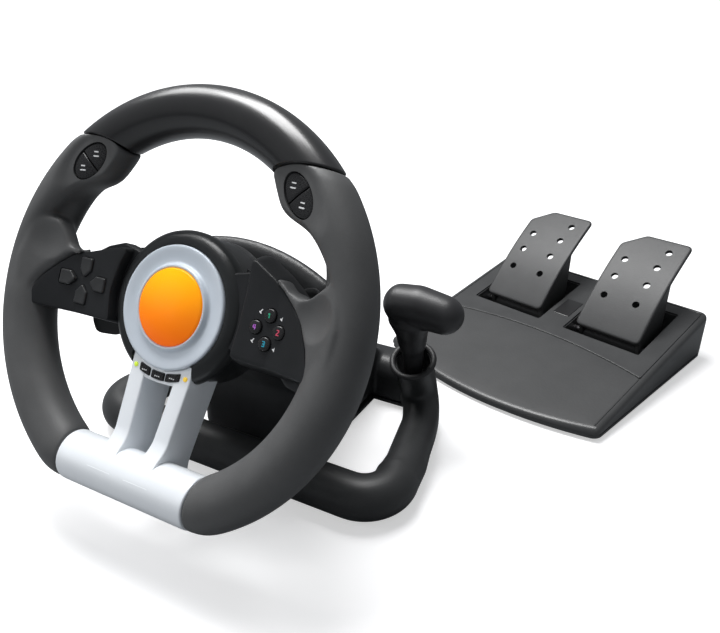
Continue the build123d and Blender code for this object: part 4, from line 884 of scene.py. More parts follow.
def spoke(side):
    """Rounded-off oblong sections, (x, n), that follow the front curve from the hub down into the bar."""
    upper = np.linspace(-36.5, -74, 24)
    top = np.stack([upper, np.interp(upper, [-74, -38], [1.7, -2.8])], 1)
    front = np.vstack([top, bezier((-74, 1.7), (-82, 3), (-86.5, 11), (-97.5, 14.9), 30)[1:]])
    u, face = front[:, 0], front[:, 1]
    back = np.interp(u, [-97.5, -91, -38], [-11, -20.5, -28.6])
    half = np.interp(u, [-97.5, -93, -86, -74], [9.5, 6.9, 5.7, 5.5])
    middle = side * np.interp(u, [-88, -38], [13.75, 16.5])
    grids = []
    for m, f, b, h, v in zip(middle, face, back, half, u):
        loop = rounded([(m - h, b), (m + h, b), (m + h, f), (m - h, f)], [1, 1, 1.1, 1.1], 5)
        grids.append(np.column_stack([loop[:, 0], np.full(len(loop), v), loop[:, 1]]))
    return skin(np.stack(grids))


MENU = {
    "menu_button_left": (-11.0, 7.6),
    "menu_button_middle": (-1.0, 9.2),
    "menu_button_right": (9.6, 9.6),
}


def menu_outline(name, grow):
    """A small oblong that bows with the strip: its points rise by 0.012 x x."""
    x, wide = MENU[name]
    hw, hh = wide / 2 + grow, 2.2 + grow
    loop = evenly(rounded([(x - hw, -hh), (x + hw, -hh), (x + hw, hh), (x - hw, hh)], 0.5 + grow, 4), 64)
    loop[:, 1] += -40.2 + 0.012 * loop[:, 0] ** 2
    return loop


def strip():
    """The plate under the ring: straight sides, a sagging lower edge and an arc of radius 35.7 on top."""
    t = np.linspace(0, 1, 30)
    low = np.stack([-22 + 44 * t, -42 - 2.2 * (1 - (2 * t - 1) ** 2)], axis=1)
    radius = 35.7
    end = math.asin(21.9 / radius)
    a = np.linspace(end, -end, 40)
    high = np.stack([radius * np.sin(a), -radius * np.cos(a)], axis=1)
    outline = np.vstack([low, high])
    return plate(outline, edge_levels(-11.8, -2.8, 0.7, 4), centre=(0, -39.5), fill=(0.98,))


lower = new_object("lower_silver", together(skin(bar_grid()), spoke(1), spoke(-1)), WHEEL)
for name in MENU:
    carve(lower, plate(menu_outline(name, 0.3), [(0, -9.0), (0, 10)], fill=(0.3,)), WHEEL)
settle(lower, "steering_wheel", "satin_silver", FINISH["satin_silver"])
band = new_object("menu_strip", strip(), WHEEL)
for name in MENU:
    carve(band, plate(menu_outline(name, 0.3), [(0, -7.8), (0, 10)], fill=(0.3,)), WHEEL)
settle(band, "steering_wheel", "satin_silver", FINISH["satin_silver"], "lower_frame")
for name in MENU:
    cap = plate(menu_outline(name, 0.0), edge_levels(-6.5, -1.8, 0.5, 4), fill=(0.5,))
    settle(new_object(name + "_cap", cap, WHEEL), name, "key_black", FINISH["key_black"], name)
    x = MENU[name][0]
    y = -40.5 + 0.012 * x * x
    marks = together(*[dash(x + k * 1.35, y, 0.9, 0.62, 0.02 * x, -2.2, -1.72) for k in (-1, 0, 1)])
    settle(new_object(name + "_marks", marks, WHEEL), name, "key_black", FINISH["ink_white"])

# %% [markdown]
# ## The hub
# Bezel, ring and dome are all turned about the wheel's own axis. The ring is very slightly dished and
# has a bright raised lip round the dome. At the foot the bezel is cut away for the strip and spokes.

# %% Bezel, ring and dome
bezel = new_object("hub_front", lathe([
    (36.05, -4.2), (36.05, -1.9), (36.5, -1.2), (37.6, -1.0), (39.6, -1.5), (41.8, -2.6), (43.8, -4.2),
    (45.0, -6.0), (45.5, -8.2), (45.5, -10.6), (45.0, -11.7), (44.05, -12.2), (44.0, -13.0),
    (44.0, -30.0), (41.5, -30.0), (41.5, -6.7), (20.0, -6.7), (20.0, -4.2)], 160, ring=True), WHEEL)
carve(bezel, blocky(-22.25, 22.25, -60, -30, -12.0, 12, 0.3), WHEEL)
carve(bezel, blocky(-22.6, 22.6, -60, -37.5, -20.0, 12, 0.3), WHEEL)
settle(bezel, "steering_wheel", "bezel_black", FINISH["bezel_black"], "hub_bezel")

ring = new_object("silver_ring", lathe([
    (22.5, -4.2), (35.85, -4.2), (35.9, -1.0), (35.7, -0.35), (35.1, 0.0), (34.2, 0.02), (32.0, -0.45),
    (29.0, -0.98), (26.8, -1.28), (25.9, -1.25), (25.3, -0.8), (24.85, 0.1), (24.3, 0.95), (23.7, 1.35),
    (23.1, 1.3), (22.6, 0.9), (22.46, 0.3)], 160, ring=True), WHEEL, sharp=50)
settle(ring, "steering_wheel", "satin_silver", FINISH["ring_silver"], "trim_ring")


def dome_profile():
    """From the back up the side, then n = 1.5 + 4.5 (1 - (r / 22.4)^2.2) over the top."""
    r = np.linspace(21.9, 0.3, 36)
    top = 1.5 + 4.5 * (1 - (r / 22.4) ** 2.2)
    return [(0.3, -4.2), (21.0, -4.2), (22.35, -3.6), (22.38, 0.8), (22.25, 1.25), *zip(r, top)]


dome = new_object("dome", lathe(dome_profile(), 128), WHEEL, sharp=50)
settle(dome, "steering_wheel", "orange_gloss", FINISH["orange_gloss"], "centre_dome")

# %% [markdown]
# Two tinted lenses sit in the strip, one yellow-green and one amber.

# %% Lamps
for side, name in ((-1, "lamp_green"), (1, "lamp_amber")):
    lens = lathe([(0.1, -5.8), (1.4, -5.8), (1.5, -2.8), (1.42, -2.45), (1.1, -2.2), (0.6, -2.05),
                  (0.1, -2.0)], 32, about=(side * 18.4, -37.6))
    piece = new_object(name + "_lens", lens, WHEEL)
    settle(piece, "steering_wheel", "light_lens", FINISH[name], "indicator_lights")

# %% [markdown]
# ## Panels and keys
# The two panels are made alike, each with its own outline. The face is flat by the hub and climbs
# towards the grip; the edges slope down to a wider back, which gives the shoulder above and the bevel
# below. A black plate behind each panel closes the view between hub and grip.

# %% Side panels
PANEL = [(47.2, -17.4), (48.8, 0), (49.4, 20), (48.4, 36.8), (57, 32.2), (65, 28), (73.4, 22.2), (81.8, 15.2),
         (87.8, 9), (91.8, 2.3), (95.2, -4), (97.9, -11), (100.4, -18.6)]
LEFT_PANEL = [(43.0, -17.4), (46.3, 0), (43.4, 17), (38.5, 27.6), (54, 24.0), (65, 20.6), (72, 18.6),
              (78.8, 15.4), (86.6, 8.6), (94.6, 0), (98.4, -6), (100.2, -11), (101.6, -18.6)]
KEYS = np.array([67.4, 1.8])
KEY_CIRCLE, KEY_HOLE = 7.6, 4.15
PAD_UPRIGHT, PAD_LEVEL = 8.2, 11.2
PANEL_RADII = [2, 30, 40, 2, 20, 8, 20, 30, 30, 30, 30, 30, 3]
LEFT_PANEL_RADII = [2, 30, 30, 3, 20, 20, 8, 20, 30, 30, 30, 30, 3]


def panel_shape(corners, radii, flare):
    """Wider below than above: the outline grows by the flare on the way down to the back."""
    outline = evenly(rounded(corners, radii), 320)
    levels = [(-0.8, -13.0), (-1.0, -12.2), (-0.95, -9.0), (-0.55, -3.2), (-0.13, 1.2), (-0.02, 1.8)]
    levels = [(flare * share, height) for share, height in levels] + [(0.6, 2.0)]
    return plate(outline, levels, centre=(72, 1), lift=panel_rise,
                 fill=(0.92, 0.82, 0.7, 0.58, 0.46, 0.34, 0.22, 0.1))


def key_middle(turn):
    """Middle of a round key: on a circle round the middle of the panel's keys, at an angle."""
    a = math.radians(turn)
    return KEYS + KEY_CIRCLE * np.array([math.cos(a), math.sin(a)])


def pad_outline(turn, grow):
    """A five-sided cap, its point towards the middle of the pad, seen on the right-hand side."""
    away = PAD_UPRIGHT if turn % 180 else PAD_LEVEL
    corners = np.array([(-6, -4.5), (1.5, -4.5), (6, 0), (1.5, 4.5), (-6, 4.5)]) + (-away, 0)
    c, s = math.cos(math.radians(turn)), math.sin(math.radians(turn))
    loop = evenly(rounded(corners, 1.3, 5), 80)
    loop = inset(loop, -grow) if grow else loop
    return KEYS + loop @ np.array([[c, s], [-s, c]])


FILLER = [(30, -15), (30, 26), (48, 30), (60, 26), (75, 17), (93, -4), (96, -15)]
filler = plate(evenly(rounded(FILLER, 3), 160), [(1, -13.5), (0, -12.5), (0, -5.0), (1, -4.0)])
right_panel = new_object("right_panel_face", panel_shape(PANEL, PANEL_RADII, 4.6), WHEEL)
backing = new_object("panel_backing", together(filler, mirrored(filler)), WHEEL)
settle(backing, "steering_wheel", "panel_black", FINISH["panel_black"])
for turn in (0, 90, 180, 270):
    hole = oval(key_middle(turn), 0, KEY_HOLE, KEY_HOLE, 48)
    carve(right_panel, plate(hole, [(0, -4), (0, 20)]), WHEEL)
settle(right_panel, "steering_wheel", "panel_black", FINISH["panel_black"], "right_panel")
left_shape = mirrored(panel_shape(LEFT_PANEL, LEFT_PANEL_RADII, 1.6))
left_panel = new_object("left_panel_face", left_shape, WHEEL)
for turn in (0, 90, 180, 270):
    carve(left_panel, mirrored(plate(pad_outline(turn, 0.35), [(0, -4), (0, 20)])), WHEEL)
settle(left_panel, "steering_wheel", "panel_black", FINISH["panel_black"], "left_panel")

# %% [markdown]
# The direction keys are four separate caps with rounded edges and a shallow dip for the thumb. The
# round keys are domed, and each has a generic coloured number, drawn with short strokes.

# %% Keys
PAD = {"pad_left": 180, "pad_down": 90, "pad_right": 0, "pad_up": 270}
for name, turn in PAD.items():
    outline = pad_outline(turn, 0.0)
    middle = outline.mean(axis=0)
    top = float(panel_rise(middle[0], 0))

    def cap_lift(x, y, middle=middle, top=top):
        """As high as the panel by the key, dipping 0.5 mm in the middle."""
        far = np.hypot(x - middle[0], y - middle[1]) / 6
        return top + 0.07 * (x - middle[0]) * (top > 0.5) - 0.5 * np.clip(1 - far * far, 0, 1)

    cap = plate(outline, edge_levels(-2.4, 3.6, 1.1, 6), lift=cap_lift)
    settle(new_object(name + "_cap", mirrored(cap), WHEEL), name, "key_black", FINISH["pad_key"], name)

STROKES = {
    "1": [(-0.4, 0.75, 0.9, 0.9), (0.05, 0, 2.7, 1.571)],
    "2": [(0, 1.3, 1.5, 0), (0.7, 0.7, 1.3, 1.571), (0, -0.25, 2.0, 0.85), (0, -1.3, 1.9, 0)],
    "3": [(0, 1.3, 1.6, 0), (0.7, 0, 2.7, 1.571), (0.1, 0, 1.2, 0), (0, -1.3, 1.6, 0)],
    "4": [(-0.6, 0.6, 1.5, 1.25), (0, -0.3, 2.0, 0), (0.45, 0, 2.7, 1.571)],
}
ROUND = {"key_top": (90, "1", "ink_green"), "key_right": (0, "2", "ink_red"),
         "key_bottom": (270, "3", "ink_blue"), "key_left": (180, "4", "ink_violet")}
for name, (turn, digit, ink) in ROUND.items():
    at = key_middle(turn)
    up = float(panel_rise(at[0], 0))
    cap = lathe([(0.2, -2.4), (3.3, -2.4), (3.7, -2.0), (3.7, 2.6 + up), (3.55, 3.1 + up), (3.1, 3.4 + up),
                 (2.2, 3.55 + up), (1.1, 3.62 + up), (0.2, 3.64 + up)], 56, about=tuple(at))
    settle(new_object(name + "_cap", cap, WHEEL), name, "key_black", FINISH["key_black"], name)
    strokes = [dash(at[0] + x, at[1] + y, long, 0.55, tilt, 3.2 + up, 3.74 + up)
               for x, y, long, tilt in STROKES[digit]]
    settle(new_object(name + "_number", together(*strokes), WHEEL), name, "key_black", FINISH[ink])

# %% [markdown]
# Four pairs of printed dashes stand between the round keys and the edge of the panel.

# %% Printed dashes
dots = []
for x, y in ((-6.6, 8.6), (7.6, 7.4), (-8.0, -7.4), (6.6, -9.0)):
    up = float(panel_rise(KEYS[0] + x, 0)) + PANEL_FACE
    for k in (-0.55, 0.55):
        tilt = 1.0 if k > 0 else -0.6
        dots.append(dash(KEYS[0] + x + 0.5 * k, KEYS[1] + y + k, 1.9, 0.62, tilt, up - 0.4, up + 0.06))
dots_piece = new_object("panel_dots", together(*dots), WHEEL)
settle(dots_piece, "steering_wheel", "panel_black", FINISH["ink_white"])

# %% [markdown]
# ## The base
# The housing is drawn as three plain forms: a head behind the wheel that narrows as it goes back, a
# spine down to the floor and a low wide wing at the rear. Melting them gives the soft fillets that a
# moulding has where they meet. Openings are cut afterwards, so their edges stay crisp.

# %% Housing
def head_section(half, crown, shoulder, low, grow):
    """Crowned roof over flat sides with cut-off lower corners, drawn in by a given amount."""
    half, crown, shoulder, low = half - grow, crown - grow, shoulder - grow, low + grow
    a = np.linspace(-1, 1, 33)
    roof = np.stack([half * a, shoulder + (crown - shoulder) * (1 - a * a)], axis=1)[::-1]
    cut = 14.0
    rest = [(-half, low + cut), (cut - half, low), (half - cut, low), (half, low + cut)]
    return evenly(rounded(np.vstack([roof, rest]), [9] + [1] * 31 + [9, 9, 9, 9, 9], 5), 150)


def head():
    """Sections along the wheel's axis; both ends are rounded over by 7 mm."""
    t = np.linspace(0, 1, 40)
    n = -50 - 72 * t
    near = np.clip(np.minimum(t, 1 - t) * 72 / 7, 0, 1)
    draw = 7 * (1 - np.sqrt(1 - (1 - near) ** 2))
    grid = []
    for share, depth, grow in zip(t, n, draw):
        size = (70 - 20 * share, 51 - 21 * share, 34 - 21 * share, -30)
        loop = head_section(*size, grow)
        grid.append(np.column_stack([loop, np.full(len(loop), depth)]))
    points, faces = skin(np.stack(grid))
    return to_row(points, WHEEL) / MM, faces


def spine():
    """The side view, (y, z), carried 47 mm each way with rounded edges."""
    corners = [(-100, 5.6), (-100, 60), (-118.3, 96.9), (-70.1, 111), (-50.1, 111), (8, 45), (26, 30),
               (26, 5.6)]
    outline = evenly(rounded(corners, [2, 20, 8, 14, 14, 30, 9, 2], 8), 260)
    levels = [(7, -47), (3.5, -46), (1, -43), (0, -39), (0, 39), (1, 43), (3.5, 46), (7, 47)]
    return stood_up(plate(outline, levels, centre=(-50, 60)))


def wing():
    """A low box across the back whose top edges are rounded by 15 mm."""
    outline = rounded([(-84, -4), (84, -4), (84, 31), (-84, 31)], 12, 10)
    turn = np.linspace(0, math.pi / 2, 10)
    levels = [(0, 5.6), (0, 24)] + [(13 * (1 - math.cos(a)), 24 + 15 * math.sin(a)) for a in turn[1:]]
    return plate(evenly(outline, 200), levels)


housing = new_object("housing_skin", together(head(), spine(), wing()), FLOOR)
melt(housing, 1.4, 10, 60)
SHAFT_HOLE = 12
turn = np.linspace(0, 2 * math.pi, 48, endpoint=False)
shaft_hole = np.stack([SHAFT_HOLE * np.cos(turn), SHAFT_HOLE * np.sin(turn)], axis=1)
carve(housing, plate(shaft_hole, [(0, -58), (0, -40)]), WHEEL, 50)
socket_window = blocky(19.5, 32.5, 20, 45, 11.5, 22.5, 0.6)
carve(housing, socket_window, FLOOR, 50)
vents = [blocky(x - 1.1, x + 1.1, 20, 45, 11, 26, 0.5)
         for x in (-64, -59, -54, -49, 49, 54, 59, 64)]
carve(housing, together(*vents), FLOOR, 50)
settle(housing, "base", "shell_black", FINISH["shell_black"], "base_housing")

# %% [markdown]
# The grip loop is a thick rubber-covered tube. It runs along the front on the floor, turns back at both
# corners and bends in under the wing. On the right a branch rises out of the arm, towards the driver,
# and ends in the collar that the gear lever stands in.

# %% Grip loop and collar
COLLAR = np.array([90.0, -27.0, 60.5])
COLLAR_UP = np.array([0.0386, -0.4550, 0.8897])
COLLAR_BORE, COLLAR_REACH = 12.1, 24
BAR_TUBE, TAIL_TUBE = 15.0, 12.5
BAR_HEIGHT, TAIL_HEIGHT = 15.0, 14.0


def turn_by(start, heading, radius, degrees, count=14):
    """Points on an arc that starts along a heading and turns left."""
    a = np.linspace(0, math.radians(degrees), count)
    h = math.radians(heading)
    x = start[0] + radius * (np.sin(h + a) - math.sin(h))
    y = start[1] + radius * (math.cos(h) - np.cos(h + a))
    return np.stack([x, y], axis=1), heading + degrees


def loop_path():
    """Bar, corner, arm, inward bend and tail of one half, as (x, y), and where its corner ends."""
    points = [np.array([[0.0, -126.5], [30, -126.5], [60, -126.5]])]
    arc, heading = turn_by((92.7, -126.5), 0, 21.1, 102)
    points.append(arc)
    way = np.array([math.cos(math.radians(heading)), math.sin(math.radians(heading))])
    points.append(arc[-1] + way * np.array([[12], [25], [38], [51], [64]]))
    bend, heading = turn_by(tuple(arc[-1] + 70 * way), heading, 60, 25, 6)
    points.append(bend)
    way = np.array([math.cos(math.radians(heading)), math.sin(math.radians(heading))])
    points.append(bend[-1] + way * np.array([[8.0], [14], [20], [24]]))
    return np.vstack(points), 3 + len(arc)


def along(path, count):
    """The same open path at equal steps, whatever else its columns carry."""
    run = np.concatenate([[0], np.cumsum(np.linalg.norm(np.diff(path[:, :3], axis=0), axis=1))])
    at = np.linspace(0, run[-1], count)
    return np.stack([np.interp(at, run, path[:, k]) for k in range(path.shape[1])], axis=1)


def branch():
    """The right arm from its corner, then in one bend up into the collar; the last column is the radius."""
    half, corner = loop_path()
    start = np.append(half[corner - 1], BAR_HEIGHT)
    way = np.array([-0.2079, 0.9781, 0])
    run = np.linspace(-2, 50, 22)[:, None]
    arm = start + way * run + (2.3, 0, 0) * np.clip(run / 20, 0, 1)
    rise = bezier(arm[-1], arm[-1] + 30 * way, COLLAR - 45 * COLLAR_UP, COLLAR - 14 * COLLAR_UP, 30)[1:]
    path = np.vstack([arm, rise, COLLAR - 7 * COLLAR_UP, COLLAR])
    length = np.concatenate([[0], np.cumsum(np.linalg.norm(np.diff(path, axis=0), axis=1))])
    radius = np.interp(length, [0, 24, 40, 62, length[-1]], [15, 14, 13.2, 13.2, 14.4])
    return along(np.column_stack([path, radius]), 90)


def thinned(line, radius, end):
    """The radius along a line, down to 8 mm over the last 16 mm before the end in the housing."""
    away = np.linalg.norm(line - line[end], axis=1)
    return 8.0 + (radius - 8.0) * smooth_step(0, 16, away)


half, corner = loop_path()
bar = np.vstack([half[:0:-1] * (-1, 1), half[:corner], half[corner - 1] + (-1.0, 4.9)])
tail = half[corner - 2:]
risen = branch()
bar_line = along(np.column_stack([bar, np.full(len(bar), BAR_HEIGHT)]), 220)
tail_line = along(np.column_stack([tail, np.full(len(tail), TAIL_HEIGHT)]), 80)
loop = new_object("loop_skin", together(
    sweep(bar_line, thinned(bar_line, BAR_TUBE, 0), 56),
    sweep(tail_line, thinned(tail_line, TAIL_TUBE, -1), 48),
    sweep(risen[:, :3], risen[:, 3], 56, side=(1, 0, 0))), FLOOR)
melt(loop, 1.1, 12, 60)
loop_points = back_home(loop, FLOOR)
near = np.linalg.norm(loop_points - COLLAR, axis=1) < COLLAR_REACH
high = np.clip((loop_points - COLLAR) @ COLLAR_UP, 0, None) * near
loop_points -= np.outer(high, COLLAR_UP)
put_back(loop, loop_points, FLOOR, 50)
bore_line = np.linspace(COLLAR - 34 * COLLAR_UP, COLLAR + 6 * COLLAR_UP, 6)
bore = sweep(bore_line, COLLAR_BORE, 64, side=(1, 0, 0))
carve(loop, bore, FLOOR, 50)
settle(loop, "base", "grip_rubber", FINISH["loop_rubber"], "grip_loop")

# %% [markdown]
# ## The gear lever
# A soft ring lies on the collar. The lever's stalk flares up into the underside of a thick cross
# handle, which droops towards its outer end. Stalk and handle are melted into one form.

# %% Ring, stalk and handle
deep_axis = np.cross(COLLAR_UP, (1.0, 0.0, 0.0))
deep_axis /= np.linalg.norm(deep_axis)
RINGED = (COLLAR, np.stack([np.cross(deep_axis, COLLAR_UP), deep_axis, COLLAR_UP]))
t = np.linspace(0, 2 * math.pi, 24, endpoint=False)
soft_ring = lathe([(14.7 + 2.25 * math.cos(a), 1.7 + 2.25 * math.sin(a)) for a in t], 96, ring=True)
ring_piece = new_object("soft_ring", soft_ring, RINGED)
settle(ring_piece, "base", "foot_rubber", FINISH["foot_rubber"], "shifter_ring")

LEAN_BACK = math.radians(10.0)
LEVER = (COLLAR, np.array([[1, 0, 0], [0, math.cos(LEAN_BACK), math.sin(LEAN_BACK)],
                           [0, -math.sin(LEAN_BACK), math.cos(LEAN_BACK)]]))


def stub(path, radii):
    """A sweep whose ends close in quarter rounds."""
    path, radii = np.asarray(path, float), np.asarray(radii, float)
    run = np.concatenate([[0], np.cumsum(np.linalg.norm(np.diff(path, axis=0), axis=1))])
    at = run[-1] * (1 - np.cos(np.linspace(0, math.pi, 60))) / 2
    line = np.stack([np.interp(at, run, path[:, k]) for k in range(3)], axis=1)
    size = np.interp(at, run, radii)
    first, last = radii[0], radii[-1]
    close = np.sqrt(np.clip(1 - (1 - np.clip(at / first, 0, 1)) ** 2, 0, 1))
    close *= np.sqrt(np.clip(1 - (1 - np.clip((run[-1] - at) / last, 0, 1)) ** 2, 0, 1))
    return sweep(line, np.maximum(size * close, 0.05), 56, side=(0, 1, 0))


handle = stub([(-19, 0, 46), (-8, 0, 48.5), (6, 0, 49.5), (20, 0, 48), (38, 0, 45.5)],
              [12.5, 14.0, 14.6, 13.6, 12.4])
stalk = lathe([(0.2, -29), (6.0, -29), (6.5, -20), (6.6, -6), (7.2, 0), (7.4, 6), (7.9, 10), (9.2, 14),
               (10.4, 20), (11.4, 27), (13.6, 33), (16.0, 39), (13.0, 48), (0.2, 50)], 64)
lever = new_object("lever_and_handle", together(handle, stalk), LEVER)
melt(lever, 0.8, 14, 60)
settle(lever, "gear_lever", "lever_black", FINISH["lever_black"], "shift_lever", "shift_knob")

# %% [markdown]
# ## Paddles
# The two gear paddles sit behind the panels. Each is a plate bent forwards towards the fingers, with
# every edge rounded.

# %% Paddles
PADDLE = [(30, -8), (50, -8), (58, -25), (66, -30), (78, -31), (83, -23), (83, 17), (74, 29), (66, 27.5),
          (59, 24), (50, 8), (30, 8)]


def paddle():
    """A 3 mm plate whose n follows the bend: flat to x = 52, then up 9 mm by x = 84."""
    outline = evenly(rounded(PADDLE, [1, 8, 6, 8, 6, 8, 12, 8, 6, 6, 8, 1], 6), 220)
    levels = [(0.9, -37.5), (0.2, -37.1), (0, -36.4), (0, -35.6), (0.2, -34.9), (0.9, -34.5)]
    points, faces = plate(outline, levels, centre=(60, 0), fill=(0.9, 0.75, 0.6, 0.45, 0.3, 0.15))
    points = points.copy()
    points[:, 2] += 9 * smooth_step(52, 84, points[:, 0]) ** 0.9
    return points, faces


barrel = sweep([(34, -8, -36), (34, -4, -36), (34, 4, -36), (34, 8, -36)], 3.0, 32, side=(1, 0, 0))
for side, word in ((-1, "left"), (1, "right")):
    shape = together(paddle(), barrel)
    piece = new_object(word + "_paddle_plate", on_side(shape, side), WHEEL)
    settle(piece, word + "_paddle", "shell_black", FINISH["shell_black"], word + "_paddle")

# %% [markdown]
# ## The pedal unit
# The base is a wedge: straight back and sides, a bowed front, and a top that falls towards the driver.
# Its rings follow one outline; the upper ones take their height from the sloping top. A deck and a
# heel mat lie on it, and the gap beside them is the dark groove along each side.

# %% Wedge, deck and mat
WEDGE_HALF, DECK_HALF = 103, 97.7
FRONT, FRONT_BOW = -184.4, 19.0
WELL_LEFTS = (-83, 12)


def top_at(y):
    """Height of the sloping top: 43.3 at the back edge, 11 at y = -184.4."""
    return 43.3 + (43.3 - 11.0) / -FRONT * y


def bowed(half, back, side, bulge):
    """Corners of the plan: back edge, then a front that bows out by bulge (1 - a a)."""
    a = np.linspace(1, -1, 40)
    front = np.stack([half * a, side - bulge * (1 - a * a)], axis=1)
    return np.vstack([[(-half, back), (half, back)], front])


def wedge(outline, rings, centre, keep):
    """Rings of (inset, height, share): z is height + share top; insets past keep shrink to the centre."""
    grid = []
    for depth, height, share in rings:
        loop = inset(outline, min(depth, keep))
        if depth > keep:
            loop = centre + (loop - centre) * (1 - depth / 100)
        grid.append(np.column_stack([loop, height + share * top_at(loop[:, 1])]))
    return skin(np.stack(grid))


plan = evenly(rounded(bowed(WEDGE_HALF, 0, FRONT, FRONT_BOW), [8, 8, 14] + [30] * 38 + [14], 8), 420)
middle = np.array([0.0, -95.0])
WEDGE_RINGS = [(60, 5.55, 0), (2, 5.55, 0), (0.5, 5.7, 0), (0, 6.4, 0), (0, -5.0, 1), (0.25, -3.2, 1),
               (0.9, -1.7, 1), (2.0, -0.6, 1), (3.4, -0.1, 1), (4.6, 0, 1), (4.95, -0.25, 1),
               (5.1, -1.3, 1), (8, -1.4, 1), (30, -1.4, 1), (60, -1.4, 1), (90, -1.4, 1)]
body = new_object("pedal_wedge", wedge(plan, WEDGE_RINGS, middle, 5.1), PEDALS, sharp=35)
wells = [blocky(x0, x0 + 71, -88, -17, 5.0, 60, 2.0) for x0 in WELL_LEFTS]
floor_cut = [blocky(x0 + 1, x0 + 70, -87, -18, 7.0, 60, 2.0) for x0 in WELL_LEFTS]
carve(body, together(*floor_cut), PEDALS, 35)
settle(body, "base", "pedal_grey", FINISH["pedal_grey"])


def fold(x):
    """Where the heel mat begins: y = -102 - 13 (x / 103)^2."""
    return -102.0 - 13.0 * (x / WEDGE_HALF) ** 2


def deck_outline():
    """From the back edge to the fold."""
    a = np.linspace(DECK_HALF, -DECK_HALF, 50)
    corners = np.vstack([[(-DECK_HALF, -5.4), (DECK_HALF, -5.4)], np.stack([a, fold(a)], axis=1)])
    return evenly(rounded(corners, [4, 4, 3] + [2] * 48 + [3], 5), 360)


def mat_outline():
    """From the fold to just behind the bowed front edge."""
    a = np.linspace(-DECK_HALF, DECK_HALF, 50)
    front = FRONT - FRONT_BOW * (1 - (a / WEDGE_HALF) ** 2) + 4.2
    corners = np.vstack([np.stack([a, fold(a) - 0.15], axis=1), np.stack([a, front], axis=1)[::-1]])
    return evenly(rounded(corners, [3] + [2] * 48 + [3, 9] + [2] * 48 + [9], 5), 420)


DECK_RINGS = [(40, -1.6, 1), (0.5, -1.6, 1), (0, -1.2, 1), (0, -0.45, 1), (0.2, -0.12, 1), (0.6, 0, 1),
              (1.4, 0.02, 1), (20, 0.02, 1), (40, 0.02, 1), (60, 0.02, 1), (90, 0.02, 1)]
deck_shape = wedge(deck_outline(), DECK_RINGS, np.array([0.0, -55.0]), 1.4)
deck = new_object("pedal_deck", deck_shape, PEDALS, sharp=35)
carve(deck, together(*wells), PEDALS, 35)
settle(deck, "base", "pedal_grey", FINISH["pedal_grey"], "pedal_base_top")
MAT_RINGS = [(40, -1.6, 1), (0.5, -1.6, 1), (0, -1.3, 1), (0, -0.9, 1), (0.25, -0.55, 1),
             (0.9, -0.35, 1), (1.6, -0.3, 1), (20, -0.3, 1), (40, -0.3, 1), (60, -0.3, 1), (90, -0.3, 1)]
mat_shape = wedge(mat_outline(), MAT_RINGS, np.array([0.0, -150.0]), 1.6)
mat = new_object("heel_mat", mat_shape, PEDALS, sharp=35)
settle(mat, "base", "pedal_grey", FINISH["mat_grey"])

badge = evenly(rounded([(-7.9, -71.9), (7.9, -71.9), (7.9, -46.1), (-7.9, -46.1)], 1.2), 120)
BADGE_RINGS = [(40, -1, 1), (0.2, -1, 1), (0, -0.6, 1), (0, 0.15, 1), (0.15, 0.35, 1), (0.5, 0.45, 1),
               (1.1, 0.47, 1), (60, 0.47, 1)]
badge_plate = wedge(badge, BADGE_RINGS, np.array([0.0, -59.0]), 1.1)
badge_piece = new_object("bare_badge", badge_plate, PEDALS)
settle(badge_piece, "base", "gloss_black", FINISH["gloss_black"], "pedal_plaque")

# %% [markdown]
# A tread starts as a flat plate in (x, s, t): across, along and through it. Holes are cut while it is
# flat. Then s is bent onto a curve whose slope falls from 48 degrees at the foot to 33 at the top.

# %% Treads
TREAD_LONG, TREAD_WIDE = 103, 59
PEDAL_OFF_MIDDLE = 47.5
TREAD_HOLE = 3.1
SLOPE_S = np.linspace(0, TREAD_LONG, 207)
SLOPE_A = np.radians(40.5 + 7.5 * np.cos(math.pi * SLOPE_S / TREAD_LONG))
CURVE = np.stack([np.concatenate([[0], np.cumsum(0.5 * np.cos(SLOPE_A[1:]))]) - 78.0,
                  np.concatenate([[0], np.cumsum(0.5 * np.sin(SLOPE_A[1:]))]) + 31.0], axis=1)


def bent(points):
    """(x, s, t) becomes x, and the curve at s plus t along its normal."""
    s = points[:, 1]
    a = np.interp(s, SLOPE_S, SLOPE_A)
    over = np.minimum(s, 0) + np.maximum(s - TREAD_LONG, 0)
    y = np.interp(s, SLOPE_S, CURVE[:, 0]) + over * np.cos(a) - points[:, 2] * np.sin(a)
    z = np.interp(s, SLOPE_S, CURVE[:, 1]) + over * np.sin(a) + points[:, 2] * np.cos(a)
    return np.column_stack([points[:, 0], y, z])


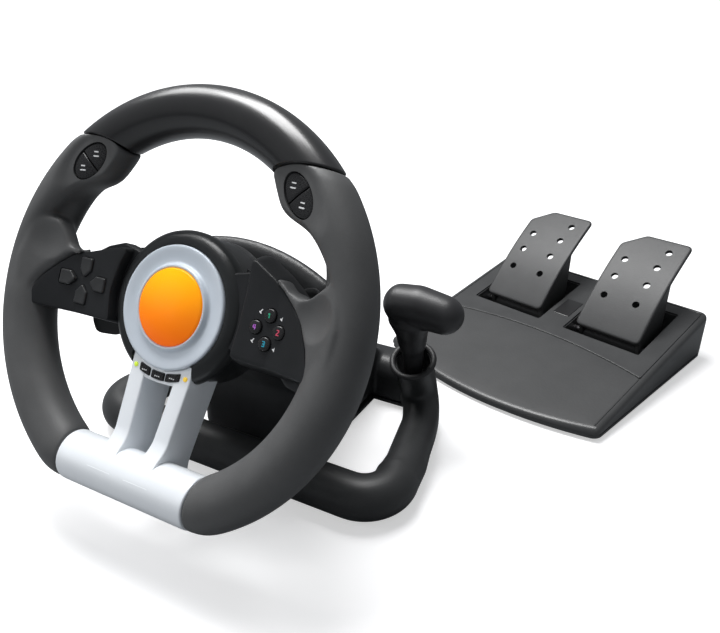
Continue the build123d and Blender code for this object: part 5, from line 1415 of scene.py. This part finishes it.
def tread_flat(left):
    """Plate with one corner cut off and rounded edges."""
    right = left + TREAD_WIDE
    outline = rounded([(left, 0), (right, 0), (right, TREAD_LONG), (left + 18, TREAD_LONG), (left, 88)],
                      [5, 5, 5, 7, 7], 8)
    levels = [(2.2, -3.7), (0.8, -3.5), (0.15, -2.7), (0, -1.9), (0.1, -1.0), (0.45, -0.4), (1.1, -0.05),
              (2.2, 0.0)]
    fill = tuple(np.linspace(0.93, 0.07, 13))
    return plate(evenly(outline, 300), levels, centre=(left + 30, 50), fill=fill)


def web(x0, x1):
    """Side plate between tread and hub: its upper edge lies 1.8 mm under the tread's curve."""
    s = np.linspace(4, 66, 14)
    under = bent(np.column_stack([0 * s, s, 0 * s - 1.8]))[:, 1:]
    lower = np.array([(-31, 26), (-46, 17), (-57.8, 12.8), (-63, 11.6), (-68, 14)])
    outline = evenly(rounded(np.vstack([under, lower]), [1] * 14 + [12, 12, 5, 4, 4], 5), 160)
    levels = [(0.5, x0), (0, x0 + 0.5), (0, x1 - 0.5), (0.5, x1)]
    return stood_up(plate(outline, levels, centre=(-45, 38), fill=(0.6, 0.2)))


def pedal(side, word):
    """Tread with seven holes and a lip that thickens towards its foot, two webs and the hub tube."""
    left = side * PEDAL_OFF_MIDDLE - TREAD_WIDE / 2
    piece = new_object(word + "_tread", tread_flat(left), FLOOR)
    spots = [(43.5, 90)] + [(x, s) for x in (12, 41.5) for s in (33, 53, 72)]
    holes = [plate(oval((left + x, s), 0, TREAD_HOLE, TREAD_HOLE, 40), [(0, -20), (0, 20)], fill=(0.3,))
             for x, s in spots]
    carve(piece, together(*holes), FLOOR, 35)
    flat = back_home(piece, FLOOR)
    near = np.exp(-np.clip(flat[:, 1], 0, None) / 3.0) * (flat[:, 2] < -1.5)
    flat[:, 2] -= 2.6 * near
    put_back(piece, bent(flat), PEDALS, 35)
    settle(piece, word, "pedal_black", FINISH["pedal_black"], word)
    hub = sweep([(left + 1.2, -62, 18), (left + 3, -62, 18), (left + 56, -62, 18), (left + 57.8, -62, 18)],
                [6.5, 7, 7, 6.5], 48)
    frame_piece = together(web(left + 1.2, left + 4.6), web(left + 54.4, left + 57.8), hub)
    settle(new_object(word + "_webs", frame_piece, PEDALS, 35), word, "pedal_black", FINISH["pedal_black"])


pedal(-1, "brake_pedal")
pedal(1, "accelerator_pedal")
